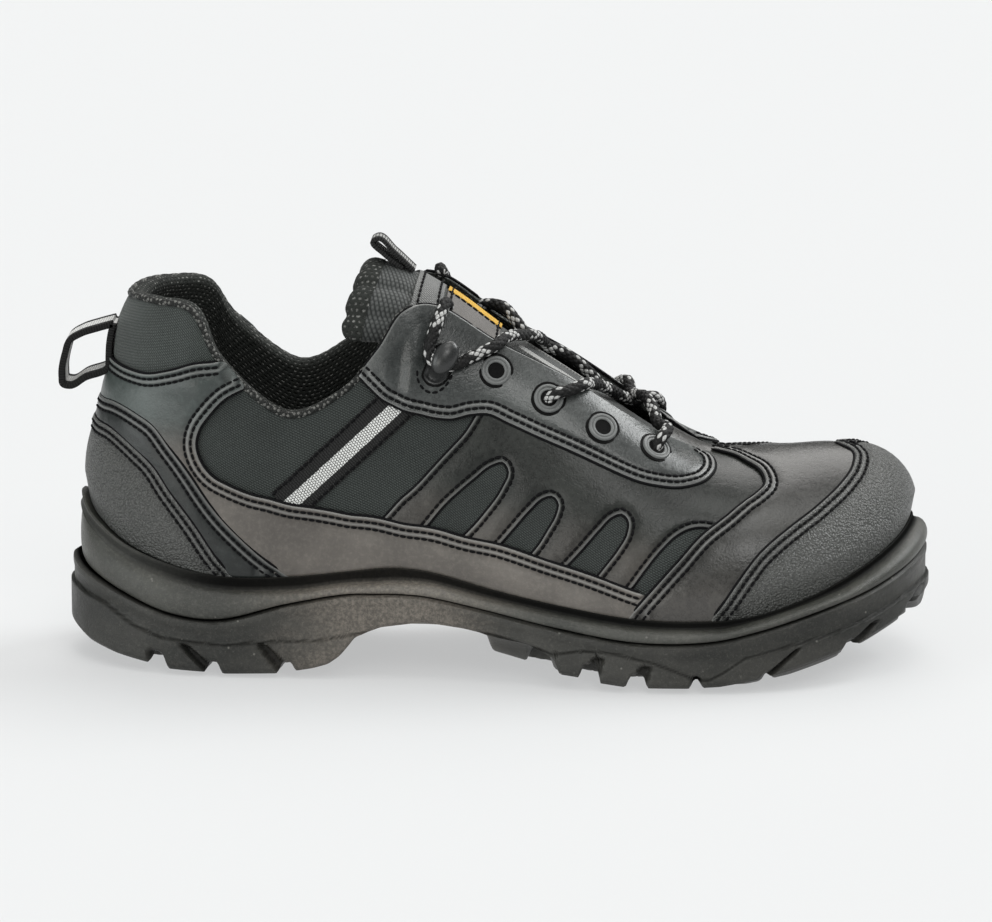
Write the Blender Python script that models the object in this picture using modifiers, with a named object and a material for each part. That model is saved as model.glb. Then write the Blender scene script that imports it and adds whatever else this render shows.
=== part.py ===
"""Low-cut lace-up safety shoe for the right foot, size 42, on a two-layer moulded sole.

The toe points along +X, the inner side of the foot along +Y, and the shoe stands on Z = 0.
Every piece follows one last: a table of sections round the shoe, each a line that climbs from
the sole's rim to the top edge of the upper. Table values are millimetres at size 42.
"""

import math
from collections import namedtuple

import bmesh
import bpy
import numpy as np
from mathutils import Matrix, Vector
from mathutils.bvhtree import BVHTree

MM = 0.001
LATERAL, MEDIAL = -1, 1
SIDE_NAMES = {LATERAL: "lateral", MEDIAL: "medial"}

# Driving dimensions: the three that scale the size 42 table, then walls and gaps
SOLE_LENGTH = 0.304
BALL_WIDTH = 0.100
COLLAR_HEIGHT = 0.132
SIZE_42_LENGTH, SIZE_42_BALL, SIZE_42_COLLAR = 304.0, 100.0, 132.0
SCALE = np.array(
    [SOLE_LENGTH / SIZE_42_LENGTH, BALL_WIDTH / SIZE_42_BALL, COLLAR_HEIGHT / SIZE_42_COLLAR]
)

WALL = 0.0024
COLLAR_PADDING = 0.0075
GAP = 0.0003
SKIRT_TUCK = 0.0022
RIM_CLEARANCE = 0.0005
INSOLE_THICKNESS = 0.004

# One row for each section round the shoe, from the heel's back to the tip of the toe.
# rim: where the upper leaves the sole; top: collar, throat edge, then the ridge of the vamp;
# round: 0 for a straight wall, 1 for a quarter of an ellipse; pad: share of the collar padding.
Section = namedtuple(
    "Section",
    "name rim_x rim_lateral rim_medial rim_z_lateral rim_z_medial floor "
    "top_x top_lateral top_medial top_z_lateral top_z_medial round puff pad",
)
SECTIONS = [
    Section("heel_back", 5.3, 0, 0, 58, 58, 31, 21, 0, 0, 131, 131, 0.35, 0.5, 1),
    Section("heel_round", 9.5, -15, 14.5, 52.5, 52.5, 31, 24, -12.5, 12.5, 132, 132, 0.35, 0.5, 1),
    Section("heel_corner", 21.5, -27, 26, 44.5, 45, 30.5, 32, -22, 21.5, 132, 132, 0.35, 1, 1),
    Section("heel_side", 38, -34, 33, 38.5, 39.5, 30, 45.5, -28.5, 28, 129.8, 129.8, 0.35, 1.5, 1),
    Section("ankle_rear", 56, -36.5, 35, 35, 36, 30, 55.5, -32.5, 31.5, 112.5, 116, 0.3, 2, 1),
    Section("ankle_low", 78, -37.3, 33.8, 35.3, 36.5, 30.5, 78, -34, 33, 94.5, 99.8, 0.3, 2, 1),
    Section("ankle_front", 98, -38, 32.5, 37.5, 38.5, 31.5, 97.5, -32.2, 31.5, 101.8, 108.5, 0.4, 1.5, 0.8),
    Section("collar_front", 112, -39, 32.3, 39.3, 40, 31.5, 110, -30, 29.5, 115.3, 120, 0.45, 1, 0.45),
    Section("facing_top", 121, -39.7, 32.8, 39.4, 40.2, 31, 119, -26.5, 25.5, 128.6, 131.4, 0.5, 0.5, 0),
    Section("facing_corner", 131.5, -40.6, 34, 38, 39, 30, 131.5, -21.8, 21, 129.5, 131.8, 0.6, 0, 0),
    Section("throat_high", 152, -43, 37.5, 32.8, 34.5, 27, 152, -20, 20, 116.5, 118, 0.7, 0, 0),
    Section("throat_mid", 176, -47.5, 42.8, 28.4, 30, 22.8, 176, -19, 19, 104, 105, 0.75, 0, 0),
    Section("throat_low", 202, -51.4, 47.2, 25, 26.5, 19.3, 203, -16.5, 17, 86.5, 87, 0.85, 0, 0),
    Section("throat_end", 226, -51, 48.6, 24.5, 26, 18.8, 225, -10, 11.5, 73, 73.6, 0.95, 0, 0),
    Section("vamp", 244, -48.6, 47.4, 26.6, 27.6, 20.5, 234, 1, 1, 73, 73, 1, 0, 0),
    Section("toe_side", 263, -42, 43, 32.3, 32.8, 24.5, 249, 3.5, 3.5, 74, 74, 1, 0, 0),
    Section("toe_corner", 280, -30.5, 35.5, 40, 40, 30, 262, 5.5, 5.5, 74.8, 74.8, 1, 0, 0),
    Section("toe_round", 292, -14.5, 24, 47, 47, 34.5, 270, 6.8, 6.8, 74.6, 74.6, 1, 0, 0),
    Section("toe_tip", 297, 6.5, 6.5, 51, 51, 36.5, 273.5, 7.5, 7.5, 74.3, 74.3, 1, 0, 0),
]
ROW = {section.name: index for index, section in enumerate(SECTIONS)}
LAST_ROW = len(SECTIONS) - 1
FULLNESS, FULL_FROM = 0.86, 0.9

# Heights of the sole's side at the same sections: parting line between the layers, ledge over the lugs
SoleSide = namedtuple("SoleSide", "parting ledge")
SOLE_SIDES = [
    SoleSide(35.8, 23.5), SoleSide(33.2, 21.0), SoleSide(28.0, 15.0), SoleSide(21.8, 12.7),
    SoleSide(20.4, 12.7), SoleSide(26.4, 14.4), SoleSide(30.4, 15.6), SoleSide(31.2, 21.0),
    SoleSide(31.2, 22.6), SoleSide(30.2, 22.6), SoleSide(26.2, 14.6), SoleSide(21.5, 13.0),
    SoleSide(17.9, 13.2), SoleSide(18.2, 13.8), SoleSide(22.0, 16.8), SoleSide(27.6, 20.5),
    SoleSide(33.0, 24.5), SoleSide(38.2, 27.5), SoleSide(41.0, 29.0),
]
# The underside along the shoe: heel bevel, heel flat, breast, arch, forefoot flat, toe spring
TreadPoint = namedtuple("TreadPoint", "x z")
TREAD_LINE = [
    TreadPoint(0.0, 9.0), TreadPoint(11.0, 4.2), TreadPoint(27.0, 1.2), TreadPoint(38.0, 0.0),
    TreadPoint(88.0, 0.0), TreadPoint(94.5, 2.6), TreadPoint(99.0, 8.0), TreadPoint(103.0, 14.5),
    TreadPoint(112.0, 19.0), TreadPoint(127.0, 21.5), TreadPoint(141.0, 18.8), TreadPoint(147.0, 15.5),
    TreadPoint(149.5, 6.8), TreadPoint(165.0, 4.6), TreadPoint(185.0, 1.4), TreadPoint(195.0, 0.0),
    TreadPoint(240.0, 0.0), TreadPoint(255.0, 2.6), TreadPoint(269.0, 6.6), TreadPoint(280.0, 10.8),
    TreadPoint(294.0, 16.6), TreadPoint(306.0, 22.5),
]
INTERFACE_BELOW_FLOOR = 4.0
SPINE_INSET, SPINE_FADE = 17.0, 25.0

# Sole profile offsets outwards from the rim of the upper
RIM_LIP = 1.3
COVE_DEPTH, COVE_DROP = 1.9, 3.4
BEAD_TOP, BEAD_DROP, BEAD_OUT = 4.4, 5.0, 6.0
PARTING_OUT, WALL_OUT, LEDGE_IN, LEDGE_OUT, TREAD_OUT = 5.2, 6.0, 5.4, 7.0, 5.6
INTERFACE_IN = -1.0

# Tread grooves from each edge, and the cross cuts of the middle lugs: place, width and slant
Groove = namedtuple("Groove", "x width slant")
EDGE_GROOVES = [
    Groove(32.0, 6.5, 8), Groove(52.5, 6.0, -6), Groove(78.0, 6.5, -18), Groove(166.0, 10.0, 12),
    Groove(185.0, 7.0, 16), Groove(201.5, 6.5, 16), Groove(223.0, 4.5, 0), Groove(248.0, 4.5, -24),
    Groove(272.0, 7.5, -18),
]
MIDDLE_GROOVES = [
    Groove(43.0, 5.0, 20), Groove(66.0, 5.0, -20), Groove(175.0, 5.5, -20), Groove(194.0, 5.5, 20),
    Groove(213.0, 5.5, -20), Groove(236.0, 5.5, 20), Groove(259.0, 5.5, -20),
]
GROOVE_DEPTH = 5.0
GROOVE_RUN = 27.0
MIDDLE_HALF = 17.0

# The tongue along the instep, from under the vamp to its free end
TongueRow = namedtuple("TongueRow", "x crown half_width drop thickness wing")
TONGUE = [
    TongueRow(236.0, 67.8, 11.0, 3.5, 2.5, 0.0),
    TongueRow(225.0, 71.0, 15.0, 6.5, 3.0, 0.0),
    TongueRow(203.0, 85.8, 19.5, 11.0, 4.0, 0.0),
    TongueRow(176.0, 103.8, 22.0, 14.0, 5.0, 0.0),
    TongueRow(152.0, 117.6, 21.5, 15.5, 6.0, 0.0),
    TongueRow(131.0, 131.6, 20.5, 17.5, 7.0, 2.0),
    TongueRow(119.0, 138.0, 20.5, 18.0, 8.0, 8.0),
    TongueRow(110.0, 140.8, 21.5, 18.0, 8.5, 14.0),
]

# Overlays cut from the last: how far up each section they reach, as a share of the wall
OverlayEdge = namedtuple("OverlayEdge", "row top")
HEEL_COUNTER = [
    OverlayEdge(0.0, 0.27), OverlayEdge(1.0, 0.29), OverlayEdge(2.0, 0.28), OverlayEdge(3.0, 0.20),
    OverlayEdge(3.6, 0.11), OverlayEdge(4.0, 0.05),
]
TOE_GUARD = [
    OverlayEdge(13.4, 0.05), OverlayEdge(14.0, 0.18), OverlayEdge(15.0, 0.37), OverlayEdge(16.0, 0.49),
    OverlayEdge(17.0, 0.55), OverlayEdge(18.0, 0.58),
]
OVERLAY_THICKNESS, OVERLAY_LIFT = 0.0014, 0.0005
OVERLAY_FOOT = 0.012

# Eyelets and lacing studs, placed by their side view
SidePlace = namedtuple("SidePlace", "x z")
EYELETS = [SidePlace(151.0, 107.0), SidePlace(169.5, 97.2), SidePlace(188.5, 87.0), SidePlace(206.5, 79.0)]
EYELET_RADIUS, EYELET_BORE, EYELET_HEIGHT = 0.0055, 0.0026, 0.0014
EYELET_BARREL, EYELET_HOLE, EYELET_LIFT = 0.0031, 0.0035, 0.0008
STUD = SidePlace(131.0, 112.0)
STUD_BASE_RADIUS, STUD_BASE_HEIGHT, STUD_LIFT = 0.0062, 0.0010, 0.0008
STUD_NECK_RADIUS, STUD_HEAD_HEIGHT = 0.0020, 0.0084
STUD_HEAD_AXES = (0.0052, 0.0043, 0.0021)

# Lace: hand-placed points of each strand; side view on a quarter, then points over the tongue
LACE_RADIUS = 0.0023
LACE_LIFT = LACE_RADIUS + GAP + 0.0006
STUD_LACE_LIFT = STUD_LIFT + STUD_BASE_HEIGHT + LACE_RADIUS + GAP
EYELET_LACE_LIFT = EYELET_LIFT + EYELET_HEIGHT + LACE_RADIUS + GAP
RoutePoint = namedtuple("RoutePoint", "x y z")
STUD_APPROACH = [SidePlace(130.6, 128.0), SidePlace(127.4, 121.5)]
STUD_TURN_RADIUS, STUD_TURN_ANGLES = 5.6, (145, 185, 225, 265, 305)
STUD_LEAVING = [SidePlace(142.0, 110.6), SidePlace(147.2, 114.6)]
UPPER_CROSSING = [
    RoutePoint(148.6, -22.8, 122.2), RoutePoint(151.4, -17.0, 123.8), RoutePoint(155.0, -9.0, 121.0),
    RoutePoint(160.0, 0.0, 117.2), RoutePoint(163.4, 8.0, 114.0), RoutePoint(166.0, 13.6, 111.2),
]
LOWER_START = [SidePlace(170.6, 97.6), SidePlace(173.6, 100.4)]
LOWER_CROSSING = [
    RoutePoint(178.6, -17.0, 107.4), RoutePoint(183.4, -9.0, 104.4), RoutePoint(188.5, 0.0, 100.0),
    RoutePoint(194.5, 8.5, 96.4), RoutePoint(200.5, 15.6, 93.0),
]
LOWER_END = [SidePlace(204.8, 82.4), SidePlace(206.6, 79.4)]

# Webbing loops, side view of the middle of the band: the heel loop as its reach behind the heel
LoopPoint = namedtuple("LoopPoint", "reach z")
HEEL_LOOP = [
    LoopPoint(0.0, 118.4), LoopPoint(10.0, 116.6), LoopPoint(16.4, 111.6), LoopPoint(15.0, 96.6),
    LoopPoint(8.0, 98.4), LoopPoint(0.0, 100.6), LoopPoint(0.0, 109.0),
]
HEEL_LOOP_WIDTH, WEBBING = 0.012, 0.0016
TONGUE_LOOP = [
    SidePlace(120.4, 138.8), SidePlace(114.6, 145.4), SidePlace(108.4, 150.0), SidePlace(106.8, 148.2),
    SidePlace(111.6, 143.4), SidePlace(116.6, 140.3),
]
TONGUE_LOOP_WIDTH = 0.010

Finish = namedtuple("Finish", "colour roughness")
FINISHES = {
    "leather": Finish((0.030, 0.032, 0.032), 0.45),
    "pebbled": Finish((0.045, 0.046, 0.044), 0.60),
    "sole": Finish((0.040, 0.039, 0.036), 0.55),
    "outsole": Finish((0.034, 0.033, 0.031), 0.60),
    "fabric": Finish((0.025, 0.028, 0.028), 0.85),
    "lining": Finish((0.012, 0.012, 0.012), 0.95),
    "eyelet": Finish((0.090, 0.092, 0.092), 0.40),
    "lace": Finish((0.020, 0.020, 0.020), 0.85),
    "webbing": Finish((0.030, 0.030, 0.030), 0.80),
}


def clear_scene():
    for obj in list(bpy.data.objects):
        bpy.data.objects.remove(obj)


def make_collection(name, hidden=False):
    collection = bpy.data.collections.new(name)
    bpy.context.scene.collection.children.link(collection)
    collection.hide_render = hidden
    return collection


def make_materials():
    materials = {}
    for name, finish in FINISHES.items():
        material = bpy.data.materials.new(name)
        material.use_nodes = True
        shader = material.node_tree.nodes["Principled BSDF"]
        shader.inputs["Base Color"].default_value = (*finish.colour, 1.0)
        shader.inputs["Roughness"].default_value = finish.roughness
        materials[name] = material
    return materials


def spline(values, at):
    """Smooth curve through the rows of values, read at fractional row numbers."""
    values = np.asarray(values, float)
    at = np.asarray(at, float)
    slopes = np.gradient(values, axis=0)
    low = np.clip(np.floor(at).astype(int), 0, len(values) - 2)
    s = (at - low).reshape(at.shape + (1,) * (values.ndim - 1))
    a, b = values[low], values[low + 1]
    return (
        (2 * s**3 - 3 * s**2 + 1) * a
        + (s**3 - 2 * s**2 + s) * slopes[low]
        + (3 * s**2 - 2 * s**3) * b
        + (s**3 - s**2) * slopes[low + 1]
    )


def column(*names):
    return np.array([[getattr(section, name) for name in names] for section in SECTIONS])


class Last:
    """The form that the shoe is built on: rim, floor and wall of each section, in millimetres."""

    def __init__(self):
        lateral = column("rim_x", "rim_lateral", "rim_z_lateral", "floor")
        medial = column("rim_x", "rim_medial", "rim_z_medial", "floor")
        around = np.vstack([lateral, medial[-2:0:-1]])
        self.around = np.vstack([around[-2:], around, around[:3]])
        self.turn = 2 * LAST_ROW
        sides = {
            LATERAL: column("top_x", "top_lateral", "top_z_lateral"),
            MEDIAL: column("top_x", "top_medial", "top_z_medial"),
        }
        corner = ROW["vamp"]
        self.edge = {s: np.vstack([sides[-s][2:0:-1], sides[s][: corner + 1]]) for s in sides}
        self.ridge = sides[LATERAL][corner:]
        self.shape = column("round", "puff", "pad")

    def rim(self, side, row):
        """Rim x, y, z and the floor's height at fractional rows of one side."""
        index = np.where(side == LATERAL, row, self.turn - np.asarray(row, float))
        return spline(self.around, index + 2)

    def outward(self, side, row):
        """Unit normals of the rim's outline in plan, pointing out of the shoe."""
        index = np.where(side == LATERAL, row, self.turn - np.asarray(row, float))
        step = 0.02
        ahead = spline(self.around, np.mod(index + step, self.turn) + 2)
        behind = spline(self.around, np.mod(index - step, self.turn) + 2)
        along = (ahead - behind)[..., :2]
        normal = np.stack([along[..., 1], -along[..., 0]], axis=-1)
        normal /= np.linalg.norm(normal, axis=-1, keepdims=True)
        return normal

    def top(self, side, row):
        """Top edge of the wall: collar and throat, then the ridge of the vamp."""
        corner = ROW["vamp"]
        row = np.asarray(row, float)
        edge = spline(self.edge[side], np.minimum(row, corner) + 2)
        ridge = spline(self.ridge, np.maximum(row - corner, 0))
        return np.where((row <= corner)[..., None], edge, ridge)

    def wall(self, side, row, shares):
        """Points of one section from the rim (share 0) to its top edge (share 1), evenly spaced."""
        rim, top = self.rim(side, row)[:3], self.top(side, row)
        roundness, puff, _ = spline(self.shape, row)
        angle = np.radians(90 * max(roundness, 0.05))
        v = np.linspace(0, 1, 61)
        climb = (np.sin(v * angle) / np.sin(angle)) ** (FULLNESS if roundness > FULL_FROM else 1)
        lean = (1 - np.cos(v * angle)) / (1 - np.cos(angle))
        lean = roundness * lean + (1 - roundness) * climb
        swell = puff * np.sin(np.pi * v) ** 2
        points = np.empty((len(v), 3))
        points[:, :2] = rim[:2] + lean[:, None] * (top - rim)[:2] + swell[:, None] * self.outward(side, row)
        points[:, 2] = rim[2] + climb * (top - rim)[2]
        length = np.concatenate([[0], np.cumsum(np.linalg.norm(np.diff(points, axis=0), axis=1))])
        return np.stack([np.interp(shares, length / length[-1], points[:, k]) for k in range(3)], axis=1)

    def skirt(self, side, row):
        """Two points under the rim, where the wall is tucked in behind the sole's lip."""
        x, y, z, floor = self.rim(side, row)
        normal = self.outward(side, row)
        foot = floor + GAP / MM
        tuck = SKIRT_TUCK / MM
        low = [x - tuck * normal[0], y - tuck * normal[1], foot]
        middle = [x - 0.35 * tuck * normal[0], y - 0.35 * tuck * normal[1], (foot + z) / 2]
        return np.array([low, middle])

    def padding(self, row, shares):
        """Wall thickness at the points of one section: padded towards the collar."""
        pad = np.clip(spline(self.shape, row)[2], 0, 1)
        rise = np.clip((np.asarray(shares) - 0.35) / 0.4, 0, 1)
        return WALL + (COLLAR_PADDING - WALL) * pad * rise * rise * (3 - 2 * rise)


def metres(points):
    return np.asarray(points, float) * SCALE


def make_object(name, mesh, collection, material):
    obj = bpy.data.objects.new(name, mesh)
    collection.objects.link(obj)
    if material:
        mesh.materials.append(material)
    return obj


def loft(lines, closed_lines=True, closed_points=False, merge=1e-6):
    """Mesh through lines of points; warped quads are split along their short side on every layer."""
    lines = np.asarray(lines, float)
    count, width = lines.shape[:2]
    faces = []
    for i in range(count if closed_lines else count - 1):
        j = (i + 1) % count
        for k in range(width if closed_points else width - 1):
            m = (k + 1) % width
            faces.append((i * width + k, j * width + k, j * width + m, i * width + m))
    mesh = bpy.data.meshes.new("loft")
    mesh.from_pydata(lines.reshape(-1, 3).tolist(), [], faces)
    work = bmesh.new()
    work.from_mesh(mesh)
    bmesh.ops.remove_doubles(work, verts=work.verts, dist=merge)
    bmesh.ops.dissolve_degenerate(work, edges=work.edges, dist=merge)
    bmesh.ops.triangulate(work, faces=work.faces, quad_method="SHORT_EDGE")
    remove_twins(work)
    work.to_mesh(mesh)
    work.free()
    mesh.shade_smooth()
    return mesh


def remove_twins(work):
    """Removes pairs of triangles on the same corners, where two sides of a loft fold onto each other."""
    groups = {}
    for face in work.faces:
        groups.setdefault(frozenset(vertex.index for vertex in face.verts), []).append(face)
    twins = [face for group in groups.values() if len(group) > 1 for face in group]
    bmesh.ops.delete(work, geom=twins, context="FACES")


def outward_normals(mesh):
    work = bmesh.new()
    work.from_mesh(mesh)
    bmesh.ops.recalc_face_normals(work, faces=work.faces)
    work.to_mesh(mesh)
    work.free()
    return mesh


def around_the_shoe(rows):
    """(side, row) of each line of a loft that goes once round the shoe."""
    return [(LATERAL, r) for r in rows] + [(MEDIAL, r) for r in rows[-2:0:-1]]


def evaluated_mesh(obj):
    graph = bpy.context.evaluated_depsgraph_get()
    return bpy.data.meshes.new_from_object(obj.evaluated_get(graph))


def apply_modifiers(obj):
    """Replaces an object's mesh with the mesh that its modifiers give."""
    mesh = evaluated_mesh(obj)
    obj.modifiers.clear()
    obj.data = mesh
    return obj


def add_boolean(obj, other, operation):
    modifier = obj.modifiers.new(operation.lower(), "BOOLEAN")
    modifier.operation = operation
    modifier.object = other
    return modifier


def as_cutter(obj):
    obj.hide_render = True
    obj.display_type = "WIRE"
    return obj


class Shoe:
    """Builds each piece of the shoe on the last."""

    def __init__(self):
        self.last = Last()
        self.materials = make_materials()
        self.parts = make_collection("safety_shoe")
        self.cutters = make_collection("cutters", hidden=True)
        self.pieces = []
        self.surface = self.side_surface()

    def add(self, name, mesh, material):
        obj = make_object(name, mesh, self.parts, self.materials[material])
        self.pieces.append(obj)
        return obj

    # The upper and what is cut from its form

    def upper_lines(self, rows, shares):
        lines = []
        for side, row in around_the_shoe(rows):
            lines.append(np.vstack([self.last.skirt(side, row), self.last.wall(side, row, shares)]))
        return metres(lines)

    def side_surface(self):
        """Outside of the upper, for seating pieces on it."""
        rows = np.linspace(0, LAST_ROW, 8 * LAST_ROW + 1)
        mesh = loft(self.upper_lines(rows, np.linspace(0, 1, 25)))
        outward_normals(mesh)
        points = [vertex.co.copy() for vertex in mesh.vertices]
        faces = [tuple(face.vertices) for face in mesh.polygons]
        bpy.data.meshes.remove(mesh)
        return BVHTree.FromPolygons(points, faces)

    def seat(self, side, place, lift=0.0):
        """Point and outward normal on the upper at a side view place."""
        x, _, z = metres([place.x, 0, place.z])
        start = Vector((x, side, z))
        point, normal, _, _ = self.surface.ray_cast(start, Vector((0, -side, 0)))
        if normal.y * side < 0:
            normal = -normal
        return point + lift * normal, normal

    def upper(self):
        rows = np.linspace(0, LAST_ROW, 2 * LAST_ROW + 1)
        shares = np.linspace(0, 1, 10)
        mesh = loft(self.upper_lines(rows, shares))
        obj = self.add("upper", mesh, "leather")
        thickness = obj.vertex_groups.new(name="thickness")
        points = self.upper_lines(rows, shares).reshape(-1, 3)
        walls = np.concatenate([self.line_padding(row, shares) for _, row in around_the_shoe(rows)])
        for vertex in mesh.vertices:
            nearest = np.argmin(np.linalg.norm(points - np.array(vertex.co), axis=1))
            thickness.add([vertex.index], walls[nearest] / COLLAR_PADDING, "REPLACE")
        solidify = obj.modifiers.new("wall", "SOLIDIFY")
        solidify.thickness = COLLAR_PADDING
        solidify.offset = self.inward_offset(mesh)
        solidify.vertex_group = thickness.name
        solidify.thickness_vertex_group = 0.0
        apply_modifiers(obj)
        for side in (LATERAL, MEDIAL):
            for place in EYELETS:
                hole = self.eyelet_hole(side, place)
                add_boolean(obj, hole, "DIFFERENCE")
        return obj

    def line_padding(self, row, shares):
        return np.concatenate([[WALL, WALL], self.last.padding(row, shares)])

    def inward_offset(self, mesh):
        """Solidify offset that grows the wall towards the inside of the shoe."""
        outward_normals(mesh)
        face = max(mesh.polygons, key=lambda f: -f.center.y)
        return -1.0 if face.normal.y < 0 else 1.0

    def overlay(self, name, edges, rows):
        """A panel cut between two forms larger than the upper, standing proud of it."""
        row_of = [edge.row for edge in edges]
        top_of = [edge.top for edge in edges]
        lines = []
        for side, row in rows:
            top = np.interp(row, row_of, top_of)
            lines.append(self.last.wall(side, row, np.linspace(OVERLAY_FOOT, top, 5)))
        mesh = loft(metres(lines), closed_lines=False)
        obj = self.add(name, mesh, "pebbled")
        offset = self.inward_offset(mesh)
        lift = obj.modifiers.new("lift", "DISPLACE")
        lift.strength = OVERLAY_LIFT if offset < 0 else -OVERLAY_LIFT
        lift.mid_level = 0.0
        solidify = obj.modifiers.new("wall", "SOLIDIFY")
        solidify.thickness = OVERLAY_THICKNESS
        solidify.offset = -offset
        return apply_modifiers(obj)

    def heel_counter(self):
        rows = np.linspace(0, HEEL_COUNTER[-1].row, 9)
        order = [(LATERAL, r) for r in rows[::-1]] + [(MEDIAL, r) for r in rows[1:]]
        return self.overlay("heel_counter", HEEL_COUNTER, order)

    def toe_guard(self):
        rows = np.linspace(TOE_GUARD[0].row, LAST_ROW, 11)
        order = [(LATERAL, r) for r in rows] + [(MEDIAL, r) for r in rows[-2::-1]]
        return self.overlay("toe_guard", TOE_GUARD, order)

    # The sole

    def sole_rows(self):
        extra = [5.75, 6.15, 6.3, 9.65, 9.8, 9.9]
        return np.unique(np.concatenate([np.linspace(0, LAST_ROW, 2 * LAST_ROW + 1), extra]))

    def spine(self, row):
        """Middle of the shoe at a section, drawn in at both ends."""
        x, left, _, floor = self.last.rim(LATERAL, row)
        right = self.last.rim(MEDIAL, row)[1]
        heel = self.last.rim(LATERAL, 0)[0]
        toe = self.last.rim(LATERAL, LAST_ROW)[0]
        inset = SPINE_INSET * (math.exp((heel - x) / SPINE_FADE) - math.exp((x - toe) / SPINE_FADE))
        return x + inset, (left + right) / 2

    def floor(self, x):
        rims = column("rim_x", "floor")
        return np.interp(x, rims[:, 0], rims[:, 1])

    def tread(self, x):
        return np.interp(x, [p.x for p in TREAD_LINE], [p.z for p in TREAD_LINE])

    def sole_line(self, side, row, offsets):
        """Points at offsets (outwards, height) from the rim of one section."""
        rim = self.last.rim(side, row)
        normal = self.last.outward(side, row)
        return [[*(rim[:2] + out * normal), height] for out, height in offsets]

    def sole_side(self, row):
        return spline(np.array(SOLE_SIDES), row)

    def midsole(self):
        half_gap = GAP / MM / 2
        lines = []
        for side, row in around_the_shoe(self.sole_rows()):
            _, _, rim, floor = self.last.rim(side, row)
            parting = self.sole_side(row)[0]
            bead = max(rim - BEAD_DROP, parting + 1.5)
            x, y = self.spine(row)
            tuck = (SKIRT_TUCK - RIM_CLEARANCE) / MM
            profile = self.sole_line(side, row, [
                (-tuck, floor),
                (RIM_CLEARANCE / MM, rim),
                (RIM_LIP, rim + 0.2),
                (COVE_DEPTH, max(rim - COVE_DROP, bead + 0.6)),
                (BEAD_TOP, bead),
                (BEAD_OUT, (bead + parting) / 2),
                (PARTING_OUT, parting + half_gap),
                (INTERFACE_IN, min(parting, floor - INTERFACE_BELOW_FLOOR) + half_gap),
            ])
            inner = self.floor(x)
            lines.append([[x, y, inner], *profile, [x, y, inner - INTERFACE_BELOW_FLOOR + half_gap]])
        return self.add("midsole", outward_normals(loft(metres(lines))), "sole")

    def outsole(self):
        half_gap = GAP / MM / 2
        lines = []
        for side, row in around_the_shoe(self.sole_rows()):
            _, _, _, floor = self.last.rim(side, row)
            parting, ledge = self.sole_side(row)
            x, y = self.spine(row)
            edge = self.sole_line(side, row, [(TREAD_OUT, 0)])[0]
            tread = self.tread(edge[0])
            ledge = min(max(ledge, tread + 1.6), parting - 2.4)
            profile = self.sole_line(side, row, [
                (INTERFACE_IN, min(parting, floor - INTERFACE_BELOW_FLOOR) - half_gap),
                (PARTING_OUT, parting - half_gap),
                (WALL_OUT, parting - 2.0),
                (LEDGE_IN, ledge),
                (LEDGE_OUT, ledge - 0.8),
                (TREAD_OUT, tread),
            ])
            inner = self.floor(x) - INTERFACE_BELOW_FLOOR - half_gap
            lines.append([[x, y, inner], *profile, [x, y, self.tread(x)]])
        obj = self.add("outsole", outward_normals(loft(metres(lines))), "outsole")
        for cutter in self.tread_cutters():
            add_boolean(obj, cutter, "DIFFERENCE")
        return obj

    def groove(self, groove, middle, length):
        """A box that cuts one groove across the tread, leaning with the toe spring."""
        slope = (self.tread(groove.x + 3) - self.tread(groove.x - 3)) / 6
        height = 4 * GROOVE_DEPTH
        top = self.tread(groove.x) + GROOVE_DEPTH
        bpy.ops.mesh.primitive_cube_add(size=1)
        box = bpy.context.object
        box.data.transform(Matrix.Diagonal((*(metres([groove.width, length, height])), 1)))
        tilt = Matrix.Rotation(-math.atan(slope), 4, "Y")
        turn = Matrix.Rotation(math.radians(groove.slant), 4, "Z") @ tilt
        place = Vector(metres([groove.x, middle, top - height / 2]))
        box.matrix_world = Matrix.Translation(place) @ turn
        for collection in list(box.users_collection):
            collection.objects.unlink(box)
        self.cutters.objects.link(box)
        return as_cutter(box)

    def tread_cutters(self):
        rim_x = column("rim_x")[:, 0]
        cutters = []
        for groove in EDGE_GROOVES:
            row = np.interp(groove.x, rim_x, np.arange(len(SECTIONS)))
            for side in (LATERAL, MEDIAL):
                edge = self.last.rim(side, row)[1] + side * LEDGE_OUT
                middle = edge - side * (GROOVE_RUN / 2 - 4)
                leaned = groove._replace(slant=groove.slant * -side)
                cutters.append(self.groove(leaned, middle, GROOVE_RUN))
        for groove in MIDDLE_GROOVES:
            row = np.interp(groove.x, rim_x, np.arange(len(SECTIONS)))
            cutters.append(self.groove(groove, self.spine(row)[1], 2 * MIDDLE_HALF))
        return cutters

    def insole(self):
        """Footbed on the floor of the midsole, inside the wall of the upper."""
        inset = -(SKIRT_TUCK + WALL + 2 * GAP) / MM
        low, high = GAP / MM, (GAP + INSOLE_THICKNESS) / MM
        lines = []
        for side, row in around_the_shoe(np.linspace(0, LAST_ROW, 2 * LAST_ROW + 1)):
            floor = self.last.rim(side, row)[3]
            x, y = self.spine(row)
            profile = self.sole_line(side, row, [(inset - 0.6, floor + high), (inset, floor + low)])
            middle = self.floor(x)
            lines.append([[x, y, middle + high], *profile, [x, y, middle + low]])
        return self.add("insole", outward_normals(loft(metres(lines))), "lining")

    # The tongue, loops, lace and fittings

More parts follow.
